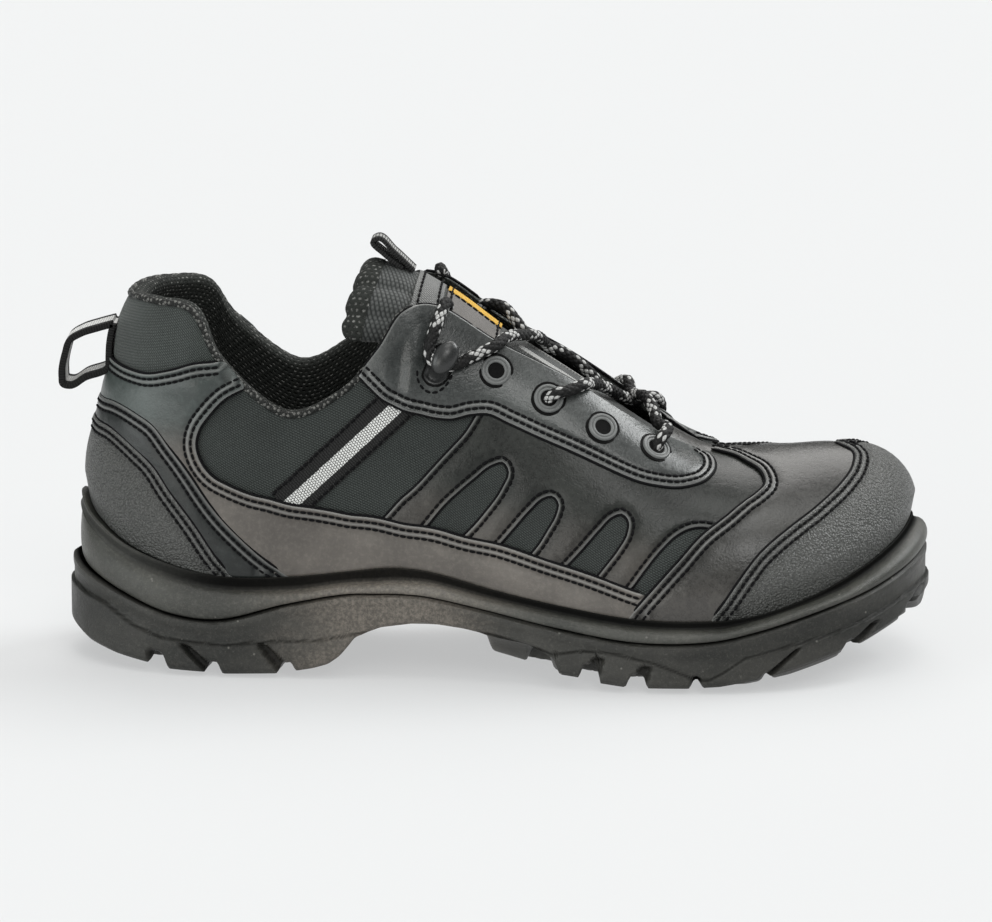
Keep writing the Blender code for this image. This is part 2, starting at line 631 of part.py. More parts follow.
    def tongue(self):
        table = np.array(TONGUE)
        lines = []
        for at in np.linspace(0, len(TONGUE) - 1, 2 * len(TONGUE) - 1):
            x, crown, half, drop, thickness, wing = spline(table, at)
            outer, inner = [], []
            for angle in np.radians(np.linspace(-80, 80, 13)):
                across, down = math.sin(angle), 1 - math.cos(angle)
                back = wing * across * across
                outer.append([x - back, half * across, crown - drop * down])
                inner.append([x - back, (half - 0.7 * thickness) * across, crown - thickness - drop * down])
            lines.append(outer + inner[::-1])
        mesh = loft(metres(lines), closed_lines=False, closed_points=True)
        work = bmesh.new()
        work.from_mesh(mesh)
        bmesh.ops.holes_fill(work, edges=work.edges, sides=0)
        bmesh.ops.triangulate(work, faces=work.faces)
        work.to_mesh(mesh)
        work.free()
        return self.add("tongue", outward_normals(mesh), "fabric")

    def band(self, name, places, width):
        """A closed ring of webbing: a flat outline with its hole, extruded across the shoe."""
        middle = [metres([p.x, 0, p.z])[[0, 2]] for p in places]
        curve = bpy.data.curves.new(name, "CURVE")
        curve.dimensions = "2D"
        curve.fill_mode = "BOTH"
        curve.extrude = width / 2
        for grow in (WEBBING / 2, -WEBBING / 2):
            outline = self.offset_outline(middle, grow)
            line = curve.splines.new("POLY")
            line.points.add(len(outline) - 1)
            for point, (x, z) in zip(line.points, outline):
                point.co = (x, z, 0, 1)
            line.use_cyclic_u = True
        obj = bpy.data.objects.new(name, curve)
        obj.rotation_euler = (math.pi / 2, 0, 0)
        self.parts.objects.link(obj)
        curve.materials.append(self.materials["webbing"])
        self.pieces.append(obj)
        return obj

    def offset_outline(self, middle, grow):
        """A closed outline moved outwards by grow along its corner normals."""
        points = np.array(middle)
        ahead, behind = np.roll(points, -1, axis=0), np.roll(points, 1, axis=0)
        area = np.sum(points[:, 0] * ahead[:, 1] - ahead[:, 0] * points[:, 1])
        before = (points - behind) / np.linalg.norm(points - behind, axis=1, keepdims=True)
        after = (ahead - points) / np.linalg.norm(ahead - points, axis=1, keepdims=True)
        both = before + after
        normals = np.stack([both[:, 1], -both[:, 0]], axis=1) * np.sign(area)
        lengths = np.sum(normals * np.stack([after[:, 1], -after[:, 0]], axis=1) * np.sign(area), axis=1)
        return points + grow * normals / lengths[:, None]

    def heel_loop(self):
        heel = self.last.wall(LATERAL, 0, np.linspace(0, 1, 41))
        clear = (GAP + WEBBING / 2) / MM
        places = []
        for point in HEEL_LOOP:
            back = np.interp(point.z, heel[:, 2], heel[:, 0])
            places.append(SidePlace(back - clear - point.reach, point.z))
        return self.band("heel_pull_loop", places, HEEL_LOOP_WIDTH)

    def tongue_loop(self):
        return self.band("tongue_pull_loop", TONGUE_LOOP, TONGUE_LOOP_WIDTH)

    def facing_matrix(self, side, place, lift):
        point, normal = self.seat(side, place, lift)
        return Matrix.Translation(point) @ normal.to_track_quat("Z", "Y").to_matrix().to_4x4()

    def eyelet_hole(self, side, place):
        bpy.ops.mesh.primitive_cylinder_add(vertices=10, radius=EYELET_HOLE, depth=10 * WALL)
        hole = bpy.context.object
        hole.matrix_world = self.facing_matrix(side, place, 0.0)
        for collection in list(hole.users_collection):
            collection.objects.unlink(hole)
        self.cutters.objects.link(hole)
        return as_cutter(hole)

    def eyelet(self, side, number, place):
        """A turned ring: a rounded flange on the facing and a barrel through its hole."""
        deep = -(WALL + EYELET_LIFT) * 0.8
        profile = [
            (EYELET_BORE, EYELET_HEIGHT * 0.7), (EYELET_BORE + 0.0007, EYELET_HEIGHT),
            (EYELET_RADIUS - 0.0010, EYELET_HEIGHT), (EYELET_RADIUS, 0.0), (EYELET_BARREL, 0.0),
            (EYELET_BARREL, deep), (EYELET_BORE, deep),
        ]
        lines = []
        for angle in np.linspace(0, 2 * math.pi, 10, endpoint=False):
            lines.append([(r * math.cos(angle), r * math.sin(angle), z) for r, z in profile])
        mesh = outward_normals(loft(lines, closed_points=True))
        obj = self.add(f"eyelet_{SIDE_NAMES[side]}_{number}", mesh, "eyelet")
        obj.matrix_world = self.facing_matrix(side, place, EYELET_LIFT)
        return obj

    def stud(self, side):
        """A lacing stud: an oval plate, a neck for the lace and a domed head."""
        bpy.ops.mesh.primitive_cylinder_add(vertices=14, radius=STUD_BASE_RADIUS, depth=STUD_BASE_HEIGHT)
        plate = bpy.context.object
        plate.data.transform(Matrix.Translation((0, 0, STUD_BASE_HEIGHT / 2)))
        bpy.ops.mesh.primitive_cylinder_add(vertices=8, radius=STUD_NECK_RADIUS, depth=STUD_HEAD_HEIGHT)
        neck = bpy.context.object
        neck.data.transform(Matrix.Translation((0, 0, STUD_HEAD_HEIGHT / 2)))
        bpy.ops.mesh.primitive_uv_sphere_add(segments=12, ring_count=6, radius=1)
        head = bpy.context.object
        head.data.transform(Matrix.Diagonal((*STUD_HEAD_AXES, 1)))
        head.data.transform(Matrix.Translation((0, 0, STUD_HEAD_HEIGHT)))
        mesh = self.united([plate, neck, head])
        obj = self.add(f"lacing_stud_{SIDE_NAMES[side]}", mesh, "eyelet")
        obj.matrix_world = self.facing_matrix(side, STUD, STUD_LIFT)
        return obj

    def united(self, objects):
        """One mesh from overlapping objects, which are removed."""
        first = objects[0]
        for other in objects[1:]:
            add_boolean(first, other, "UNION")
        mesh = evaluated_mesh(first)
        mesh.materials.clear()
        for obj in objects:
            bpy.data.objects.remove(obj)
        mesh.shade_smooth()
        mesh.set_sharp_from_angle(angle=math.radians(40))
        return mesh

    def strand(self, points):
        """A length of lace as a mesh object, swept along a smooth line through the points."""
        points = np.array(points)
        smooth = spline(points, np.linspace(0, len(points) - 1, 2 * len(points) - 1))
        curve = bpy.data.curves.new("strand", "CURVE")
        curve.dimensions = "3D"
        curve.bevel_depth = LACE_RADIUS
        curve.bevel_resolution = 1
        curve.use_fill_caps = True
        line = curve.splines.new("POLY")
        line.points.add(len(smooth) - 1)
        for point, place in zip(line.points, smooth):
            point.co = (*place, 1)
        tube = bpy.data.objects.new("strand", curve)
        self.cutters.objects.link(tube)
        mesh = evaluated_mesh(tube)
        bpy.data.objects.remove(tube)
        work = bmesh.new()
        work.from_mesh(mesh)
        bmesh.ops.remove_doubles(work, verts=work.verts, dist=1e-6)
        bmesh.ops.recalc_face_normals(work, faces=work.faces)
        work.to_mesh(mesh)
        work.free()
        obj = bpy.data.objects.new("strand", mesh)
        bpy.context.scene.collection.objects.link(obj)
        return obj

    def on_facing(self, side, places, lift=LACE_LIFT):
        return [self.seat(side, place, lift)[0] for place in places]

    def round_stud(self, side):
        """The turn that a strand takes behind the neck of a stud."""
        turn = []
        for angle in np.radians(STUD_TURN_ANGLES):
            ahead, up = STUD_TURN_RADIUS * math.cos(angle), STUD_TURN_RADIUS * math.sin(angle)
            turn.append(SidePlace(STUD.x + ahead, STUD.z + up))
        approach = self.on_facing(side, STUD_APPROACH)
        leaving = self.on_facing(side, STUD_LEAVING)
        return approach + self.on_facing(side, turn, STUD_LACE_LIFT) + leaving

    def across(self, side, route):
        """Route points for a strand that starts on one side; the table is for the lateral one."""
        return [Vector(metres([p.x, -side * p.y, p.z])) for p in route]

    def lace(self):
        """Two pairs of strands, each crossing over the tongue, joined where they cross."""
        upper, lower = [], []
        for side in (LATERAL, MEDIAL):
            upper.append(self.strand(self.round_stud(side) + self.across(side, UPPER_CROSSING)))
            start = self.on_facing(side, LOWER_START, EYELET_LACE_LIFT)
            end = self.on_facing(-side, LOWER_END, EYELET_LACE_LIFT)
            lower.append(self.strand(start + self.across(side, LOWER_CROSSING) + end))
        self.add("lace_upper_crossing", self.united(upper), "lace")
        self.add("lace_lower_crossing", self.united(lower), "lace")

    def build(self):
        self.upper()
        self.midsole()
        self.outsole()
        self.insole()
        self.heel_counter()
        self.toe_guard()
        self.tongue()
        self.heel_loop()
        self.tongue_loop()
        for side in (LATERAL, MEDIAL):
            for number, place in enumerate(EYELETS, start=1):
                self.eyelet(side, number, place)
            self.stud(side)
        self.lace()
        self.centre()

    def centre(self):
        """Hangs every piece on an empty, moved so that the origin is under the middle of the shoe."""
        bpy.context.view_layer.update()
        corners = [obj.matrix_world @ Vector(c) for obj in self.pieces for c in obj.bound_box]
        low = Vector(min(c[k] for c in corners) for k in range(3))
        high = Vector(max(c[k] for c in corners) for k in range(3))
        root = bpy.data.objects.new("shoe", None)
        self.parts.objects.link(root)
        for obj in [*self.pieces, *self.cutters.objects]:
            obj.parent = root
        middle = (low + high) / 2
        root.location = (-middle.x, -middle.y, 0)


clear_scene()
Shoe().build()
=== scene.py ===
"""Looks of a low-cut lace-up safety shoe for the right foot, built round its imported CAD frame.

Every sewn piece follows one last: a table of sections round the shoe, each a wall that climbs from
the sole's rim (share 0) to the top edge of the upper (share 1). Table values are millimetres in the
last's own frame, with X = 0 at the back of the sole, -Y on the outer side and Z = 0 on the floor.
"""

import logging
import math
from dataclasses import astuple, dataclass, field
from enum import Enum
from typing import Callable, Optional, Sequence, Union

import bpy
import numpy as np
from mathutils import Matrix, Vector, geometry, kdtree


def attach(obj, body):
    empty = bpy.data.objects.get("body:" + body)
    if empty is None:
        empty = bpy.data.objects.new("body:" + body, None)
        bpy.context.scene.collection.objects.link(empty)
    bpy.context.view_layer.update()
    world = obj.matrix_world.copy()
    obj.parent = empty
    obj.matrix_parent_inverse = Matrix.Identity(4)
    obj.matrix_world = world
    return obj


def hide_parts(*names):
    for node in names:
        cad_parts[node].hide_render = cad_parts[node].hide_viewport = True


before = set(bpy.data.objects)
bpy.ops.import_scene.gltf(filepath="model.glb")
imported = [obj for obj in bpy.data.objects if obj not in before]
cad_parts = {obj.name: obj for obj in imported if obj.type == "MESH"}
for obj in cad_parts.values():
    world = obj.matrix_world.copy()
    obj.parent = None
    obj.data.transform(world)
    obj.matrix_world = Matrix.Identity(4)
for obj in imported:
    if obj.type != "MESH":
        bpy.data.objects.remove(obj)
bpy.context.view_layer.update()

log = logging.getLogger("safety_shoe")

MM = 0.001
BODY = "root"
LAST_TO_FRAME = np.array([-149.289, 1.4955, 0.0])
UP, ACROSS = np.array([0.0, 0.0, 1.0]), np.array([0.0, 1.0, 0.0])

Place = tuple[float, float]
Point = tuple[float, float, float]
Colour = tuple[float, float, float]
Array = np.ndarray
Relief = Callable[[Array, Array], Array]
Piece = bpy.types.Object
Material = bpy.types.Material
Socket = bpy.types.NodeSocket


class Side(Enum):
    """The two sides of the shoe; the value is the sign of Y."""

    LATERAL = -1
    MEDIAL = 1

    @property
    def label(self) -> str:
        """The side's word in the names of pieces."""
        return self.name.lower()


@dataclass(frozen=True)
class Section:
    """One section round the shoe, in millimetres."""

    rim_x: float
    rim_lateral: float
    rim_medial: float
    rim_z_lateral: float
    rim_z_medial: float
    floor: float
    top_x: float
    top_lateral: float
    top_medial: float
    top_z_lateral: float
    top_z_medial: float
    round: float
    puff: float
    pad: float
    parting: float


# From the back of the heel, along either side, to the tip of the toe
SECTIONS = (
    Section(5.3, 0, 0, 58, 58, 31, 21, 0, 0, 131, 131, 0.35, 0.5, 1, 35.8),
    Section(9.5, -15, 14.5, 52.5, 52.5, 31, 24, -12.5, 12.5, 132, 132, 0.35, 0.5, 1, 33.2),
    Section(21.5, -27, 26, 44.5, 45, 30.5, 32, -22, 21.5, 132, 132, 0.35, 1, 1, 28),
    Section(38, -34, 33, 38.5, 39.5, 30, 45.5, -28.5, 28, 129.8, 129.8, 0.35, 1.5, 1, 21.8),
    Section(56, -36.5, 35, 35, 36, 30, 55.5, -32.5, 31.5, 112.5, 116, 0.3, 2, 1, 20.4),
    Section(78, -37.3, 33.8, 35.3, 36.5, 30.5, 78, -34, 33, 94.5, 99.8, 0.3, 2, 1, 26.4),
    Section(98, -38, 32.5, 37.5, 38.5, 31.5, 97.5, -32.2, 31.5, 101.8, 108.5, 0.4, 1.5, 0.8, 30.4),
    Section(112, -39, 32.3, 39.3, 40, 31.5, 110, -30, 29.5, 115.3, 120, 0.45, 1, 0.45, 31.2),
    Section(121, -39.7, 32.8, 39.4, 40.2, 31, 119, -26.5, 25.5, 128.6, 131.4, 0.5, 0.5, 0, 31.2),
    Section(131.5, -40.6, 34, 38, 39, 30, 131.5, -21.8, 21, 129.5, 131.8, 0.6, 0, 0, 30.2),
    Section(152, -43, 37.5, 32.8, 34.5, 27, 152, -20, 20, 116.5, 118, 0.7, 0, 0, 26.2),
    Section(176, -47.5, 42.8, 28.4, 30, 22.8, 176, -19, 19, 104, 105, 0.75, 0, 0, 21.5),
    Section(202, -51.4, 47.2, 25, 26.5, 19.3, 203, -16.5, 17, 86.5, 87, 0.85, 0, 0, 17.9),
    Section(226, -51, 48.6, 24.5, 26, 18.8, 219, -8, 9, 77.2, 77.8, 0.95, 0, 0, 18.2),
    Section(244, -48.6, 47.4, 26.6, 27.6, 20.5, 229, 0.5, 0.5, 74.4, 74.4, 1, 0, 0, 22),
    Section(263, -42, 43, 32.3, 32.8, 24.5, 246, 3.2, 3.2, 73.4, 73.4, 1, 0, 0, 27.6),
    Section(280, -30.5, 35.5, 40, 40, 30, 261, 5, 5, 74.5, 74.5, 1, 0, 0, 33),
    Section(292, -14.5, 24, 47, 47, 34.5, 270, 6, 6, 74.7, 74.7, 1, 0, 0, 38.2),
    Section(297, 6.5, 6.5, 51, 51, 36.5, 273.5, 6.5, 6.5, 74.3, 74.3, 1, 0, 0, 41),
)
TIP = len(SECTIONS) - 1
TURN = 2 * TIP
THROAT_ROW = 14
FULLNESS, FULL_FROM = 0.86, 0.85
WALL, COLLAR_PADDING = 2.4, 7.5
BASE_INSET = 1.0


def smoothstep(value: Array, low: float, high: float) -> Array:
    """A soft step from 0 at low to 1 at high."""
    t = np.clip((np.asarray(value, float) - low) / (high - low), 0.0, 1.0)
    return t * t * (3 - 2 * t)


def through(values: Sequence, at: Array, knots: Optional[Array] = None) -> Array:
    """Reads a smooth curve through values.

    Args:
        values: Numbers or points, one for each knot.
        at: Where to read, in the knots' own measure.
        knots: Rising measure of each value; row numbers by default.

    Returns:
        The curve's values at those places.
    """
    values = np.asarray(values, float)
    at = np.asarray(at, float)
    knots = np.arange(len(values), dtype=float) if knots is None else np.asarray(knots, float)
    slopes = np.gradient(values, knots, axis=0)
    low = np.clip(np.searchsorted(knots, at, side="right") - 1, 0, len(values) - 2)
    width = (knots[low + 1] - knots[low]).reshape(at.shape + (1,) * (values.ndim - 1))
    t = (at - knots[low]).reshape(width.shape) / width
    return (
        (2 * t**3 - 3 * t**2 + 1) * values[low]
        + (t**3 - 2 * t**2 + t) * width * slopes[low]
        + (3 * t**2 - 2 * t**3) * values[low + 1]
        + (t**3 - t**2) * width * slopes[low + 1]
    )


def bell(value: Array, width: float) -> Array:
    """A soft bump of height 1 at 0."""
    return np.exp(-((value / width) ** 2))


def chord(points: Array) -> Array:
    """Length along a line of points, from 0 at the first one."""
    steps = np.linalg.norm(np.diff(np.asarray(points, float), axis=0), axis=1)
    return np.concatenate([[0.0], np.cumsum(steps)])


def along_line(at: Array, length: Array, line: Array) -> Array:
    """Points of a line at lengths along it."""
    return np.stack([np.interp(at, length, column) for column in line.T], axis=1)


def evenly(points: Array, step: float) -> Array:
    """The same line with points about a step apart, both ends kept.

    Args:
        points: Points of the line.
        step: Distance between the new points.

    Returns:
        The new points.
    """
    length = chord(points)
    count = max(2, int(round(length[-1] / step)) + 1)
    return along_line(np.linspace(0, length[-1], count), length, points)


def smooth_line(points: Sequence, step: float) -> Array:
    """A smooth line through a few points, with points about a step apart.

    Args:
        points: Points on the line.
        step: Distance between the new points.

    Returns:
        The new points.
    """
    points = np.asarray(points, float)
    knots = chord(points)
    return evenly(through(points, np.linspace(0, knots[-1], 24 * len(points)), knots), step)


def unit(vectors: Array) -> Array:
    """The vectors at length 1."""
    return vectors / np.maximum(np.linalg.norm(vectors, axis=-1, keepdims=True), 1e-12)


@dataclass(frozen=True)
class Crease:
    """A soft trough (positive depth) or ridge, placed by its side view, in millimetres."""

    x: float
    z: float
    angle: float
    length: float
    width: float
    depth: float


CREASES = (
    Crease(118.0, 108, 84, 13, 2.6, 1.1),
    Crease(122.6, 109, 84, 13, 2.4, -0.8),
    Crease(127.0, 109, 80, 10, 3.0, 0.5),
    Crease(160.0, 82, -28, 16, 5.0, 0.35),
    Crease(236.0, 62, 62, 14, 4.5, 0.45),
    Crease(244.0, 70, 48, 11, 4.0, -0.4),
    Crease(60.0, 58, -38, 13, 5.0, 0.5),
    Crease(88.0, 47, -12, 16, 4.0, 0.5),
    Crease(54.0, 104, 62, 10, 3.2, 0.5),
    Crease(33.0, 116, 8, 13, 4.0, 0.5),
)


class Skin:
    """The outer face of the last as one closed table, read by a section number and a share of the wall.

    The section number s runs round the shoe: 0 at the back of the heel, negative along the outer
    side, positive along the inner side, and the two meet at the tip of the toe.
    """

    STEP = 0.05
    SHARES = 121
    WALL_POINTS = 81
    LEVEL = 0.4
    PROBE = 0.02
    LEAST_ROUND = 0.05
    HEEL_PAD, SIDE_PAD = 2.2, 1.0

    def __init__(self) -> None:
        """Works out points, normals, wall lengths and the run round the shoe."""
        self.data = {name: np.array([getattr(s, name) for s in SECTIONS]) for name in Section.__annotations__}
        self._around = self._ring("rim_x", "rim_{}", "rim_z_{}", "floor")
        self._edges = {side: self._columns(side, "top_x", "top_{}", "top_z_{}") for side in Side}
        self._shape = np.stack([self.data["round"], self.data["puff"]], axis=1)
        self.turns = np.arange(-TIP, TIP, self.STEP)
        self.shares = np.linspace(0, 1, self.SHARES)
        walls = np.array([self._wall(s) for s in self.turns])
        self.lengths = np.linalg.norm(np.diff(walls, axis=1), axis=2).sum(axis=1)
        self.normals = self._normals(walls)
        depth = BASE_INSET + self._creases(walls) - self._pads()
        self.points = walls - depth[..., None] * self.normals
        level = int(self.LEVEL * (self.SHARES - 1))
        self.run = chord(np.vstack([walls[:, level], walls[:1, level]]))
        self.run_turns = np.append(self.turns, TIP)
        self.run = self.run - np.interp(0.0, self.run_turns, self.run)
        self.lap = self.run[-1] - self.run[0]
        self._tree: Optional[kdtree.KDTree] = None
        self._found: list[Place] = []

    def _columns(self, side: Side, *names: str) -> Array:
        """Columns of the table for one side."""
        return np.stack([self.data[name.format(side.label)] for name in names], axis=1)

    def _ring(self, *names: str) -> Array:
        """Columns round the whole rim, outer side first, with spare rows at both ends.

        Args:
            names: Columns, with a gap for the side's word.

        Returns:
            Rows of the columns.
        """
        outer, inner = (self._columns(side, *names) for side in Side)
        around = np.vstack([outer, inner[-2:0:-1]])
        return np.vstack([around[-2:], around, around[:3]])

    @staticmethod
    def _round(ring: Array, s: Array, ahead: float = 0.0) -> Array:
        """Reads a ring of columns at section numbers, or a little ahead of them."""
        return through(ring, np.mod(np.mod(-np.asarray(s, float), TURN) + ahead, TURN) + 2)

    def rim(self, s: Array) -> Array:
        """Rim x, y, z and floor height at section numbers, in millimetres."""
        return self._round(self._around, s)

    def outward(self, s: Array) -> Array:
        """Unit normals of the rim's outline in plan.

        Args:
            s: Section numbers.

        Returns:
            Directions in plan.
        """
        ahead, behind = (self._round(self._around, s, way * self.PROBE) for way in (1, -1))
        along = (ahead - behind)[..., :2]
        return unit(np.stack([along[..., 1], -along[..., 0]], axis=-1))

    def column(self, name: str, s: Array) -> Array:
        """One column of the table at section numbers, the same on both sides."""
        return self._round(self._ring(name), s)[..., 0]

    def _top(self, side: Side, row: float) -> Array:
        """Top edge of the wall: collar and throat, then the ridge of the vamp.

        Args:
            side: Side of the shoe.
            row: Row of the table.

        Returns:
            A point in millimetres.
        """
        own, other = self._edges[side], self._edges[Side(-side.value)]
        if row <= THROAT_ROW:
            return through(np.vstack([other[2:0:-1], own[: THROAT_ROW + 1]]), np.array(row + 2))
        return through(self._edges[Side.LATERAL][THROAT_ROW:], np.array(row - THROAT_ROW))

    def _wall(self, s: float) -> Array:
        """Evenly spaced points of one wall from rim to top edge.

        Args:
            s: Section number.

        Returns:
            Points in millimetres.
        """
        row = abs(s)
        rim, top = self.rim(s)[:3], self._top(Side.LATERAL if s <= 0 else Side.MEDIAL, row)
        roundness, puff = through(self._shape, np.array(row))
        angle = math.radians(90 * max(roundness, self.LEAST_ROUND))
        v = np.linspace(0, 1, self.WALL_POINTS)
        full = 1 - (1 - FULLNESS) * min(max((roundness - FULL_FROM) / (1 - FULL_FROM), 0), 1)
        climb = (np.sin(v * angle) / math.sin(angle)) ** full
        lean = roundness * (1 - np.cos(v * angle)) / (1 - math.cos(angle)) + (1 - roundness) * climb
        swell = puff * np.sin(np.pi * v) ** 2
        points = np.empty((len(v), 3))
        points[:, :2] = rim[:2] + lean[:, None] * (top - rim)[:2] + swell[:, None] * self.outward(s)
        points[:, 2] = rim[2] + climb * (top - rim)[2]
        length = chord(points)
        return along_line(self.shares, length / length[-1], points)

    def _normals(self, walls: Array) -> Array:
        """Outward normals of the table; both sides share theirs along the ridge.

        Args:
            walls: Points of all walls.

        Returns:
            Unit normals.
        """
        along = np.roll(walls, -1, axis=0) - np.roll(walls, 1, axis=0)
        normals = unit(-np.cross(along, np.gradient(walls, axis=1)))
        flip = np.mod(-np.arange(len(self.turns)), len(self.turns))
        ridge = smoothstep(np.abs(self.turns), 13.6, 14.4)[:, None, None]
        shared = smoothstep(self.shares, 0.9, 1.0)[None, :, None] * ridge
        mean = unit(normals + normals[flip])
        return unit(normals * (1 - shared) + mean * shared)

    def _creases(self, walls: Array) -> Array:
        """Depth of the listed creases over the table.

        Args:
            walls: Points of all walls.

        Returns:
            Depths in millimetres.
        """
        depth = np.zeros(walls.shape[:2])
        for crease in CREASES:
            dx, dz = walls[..., 0] - crease.x, walls[..., 2] - crease.z
            turn = math.radians(crease.angle)
            along = dx * math.cos(turn) + dz * math.sin(turn)
            across = dz * math.cos(turn) - dx * math.sin(turn)
            depth += crease.depth * np.exp(-((along / crease.length) ** 2) - (across / crease.width) ** 2)
        return depth

    def _pads(self) -> Array:
        """Fullness of the padded cloth at the collar and behind the facings.

        Returns:
            Heights in millimetres.
        """
        rows = np.abs(self.turns)[:, None]
        climb = np.clip((self.shares - 0.64) / 0.36, 0, 1)
        heel = self.HEEL_PAD * smoothstep(-rows, -3.9, -3.0) * np.sin(np.pi * climb) ** 0.8
        return heel + self.SIDE_PAD * bell(rows - 5.4, 1.5) * bell(self.shares - 0.74, 0.22)

    def _index(self, s: Array) -> tuple[Array, Array, Array]:
        """Table rows on both sides of section numbers, and the share between them.

        Args:
            s: Section numbers.

        Returns:
            Lower rows, upper rows and shares.
        """
        at = np.mod(np.asarray(s, float) + TIP, TURN) / self.STEP
        low = np.floor(at).astype(int)
        return low % len(self.turns), (low + 1) % len(self.turns), at - low

    def read(self, table: Array, s: Array, v: Array) -> Array:
        """A table's values at section numbers and shares.

        Args:
            table: Table over all walls.
            s: Section numbers.
            v: Shares of the wall.

        Returns:
            One value for each place.
        """
        a, b, t = self._index(s)
        at = np.clip(np.asarray(v, float), 0, 1) * (self.SHARES - 1)
        low = np.clip(np.floor(at).astype(int), 0, self.SHARES - 2)
        t, u = t[..., None], (at - low)[..., None]
        first, second = (table[row, low] * (1 - u) + table[row, low + 1] * u for row in (a, b))
        return first * (1 - t) + second * t

    def normal(self, s: Array, v: Array) -> Array:
        """Outward unit normals."""
        return unit(self.read(self.normals, s, v))

    def at(self, s: Array, v: Array, lift: Union[float, Array] = 0.0) -> Array:
        """Points on the skin.

        Args:
            s: Section numbers.
            v: Shares of the wall.
            lift: Height over the skin in millimetres.

        Returns:
            Points in millimetres, in the last's frame.
        """
        lift = np.broadcast_to(np.asarray(lift, float), np.shape(s))
        return self.read(self.points, s, v) + lift[..., None] * self.normal(s, v)

    def length(self, s: Array) -> Array:
        """Length of the wall, rim to top edge."""
        a, b, t = self._index(s)
        return self.lengths[a] * (1 - t) + self.lengths[b] * t

    def flatten(self, s: Array, v: Array) -> Array:
        """Section numbers and shares as flat pattern places: run round the shoe and height up the wall.

        Args:
            s: Section numbers.
            v: Shares of the wall.

        Returns:
            Flat places in millimetres.
        """
        s = np.asarray(s, float)
        laps = np.floor((s + TIP) / TURN)
        run = np.interp(s - laps * TURN, self.run_turns, self.run) + laps * self.lap
        return np.stack([run, np.asarray(v, float) * self.length(s)], axis=-1)

    def unflatten(self, flat: Array) -> tuple[Array, Array]:
        """Flat pattern places back to section numbers and shares.

        Args:
            flat: Flat places in millimetres.

        Returns:
            Section numbers and shares.
        """
        laps = np.floor((flat[..., 0] - self.run[0]) / self.lap)
        s = np.interp(flat[..., 0] - laps * self.lap, self.run, self.run_turns) + laps * TURN
        return s, flat[..., 1] / self.length(s)

    def seek(self, place: Place) -> Place:
        """Row and share of a place in the outer side's side view, in millimetres.

        Args:
            place: Side-view x and z.

        Returns:
            Row and share.
        """
        if self._tree is None:
            outer = np.where(self.turns <= 0)[0]
            self._found = [(-self.turns[i], v) for i in outer for v in self.shares]
            self._tree = kdtree.KDTree(len(self._found))
            for index, point in enumerate(self.points[outer].reshape(-1, 3)):
                self._tree.insert((point[0], point[2], 0.0), index)
            self._tree.balance()
        near = self._tree.find_n((place[0], place[1], 0.0), 4)
        weights = np.array([1 / (found[2] + 1e-4) for found in near])
        pairs = np.array([self._found[found[1]] for found in near])
        row, share = (pairs * weights[:, None]).sum(axis=0) / weights.sum()
        return float(row), float(share)

    def padding(self, s: Array, v: Array) -> Array:
        """Thickness of the wall, padded towards the collar."""
        pad = np.clip(self.column("pad", s), 0, 1)
        return WALL + (COLLAR_PADDING - WALL) * pad * smoothstep(v, 0.35, 0.75)


SKIN = Skin()


def to_frame(points: Array) -> Array:
    """Millimetres in the last's frame to metres in the part's frame."""
    return (np.asarray(points, float) + LAST_TO_FRAME) * MM


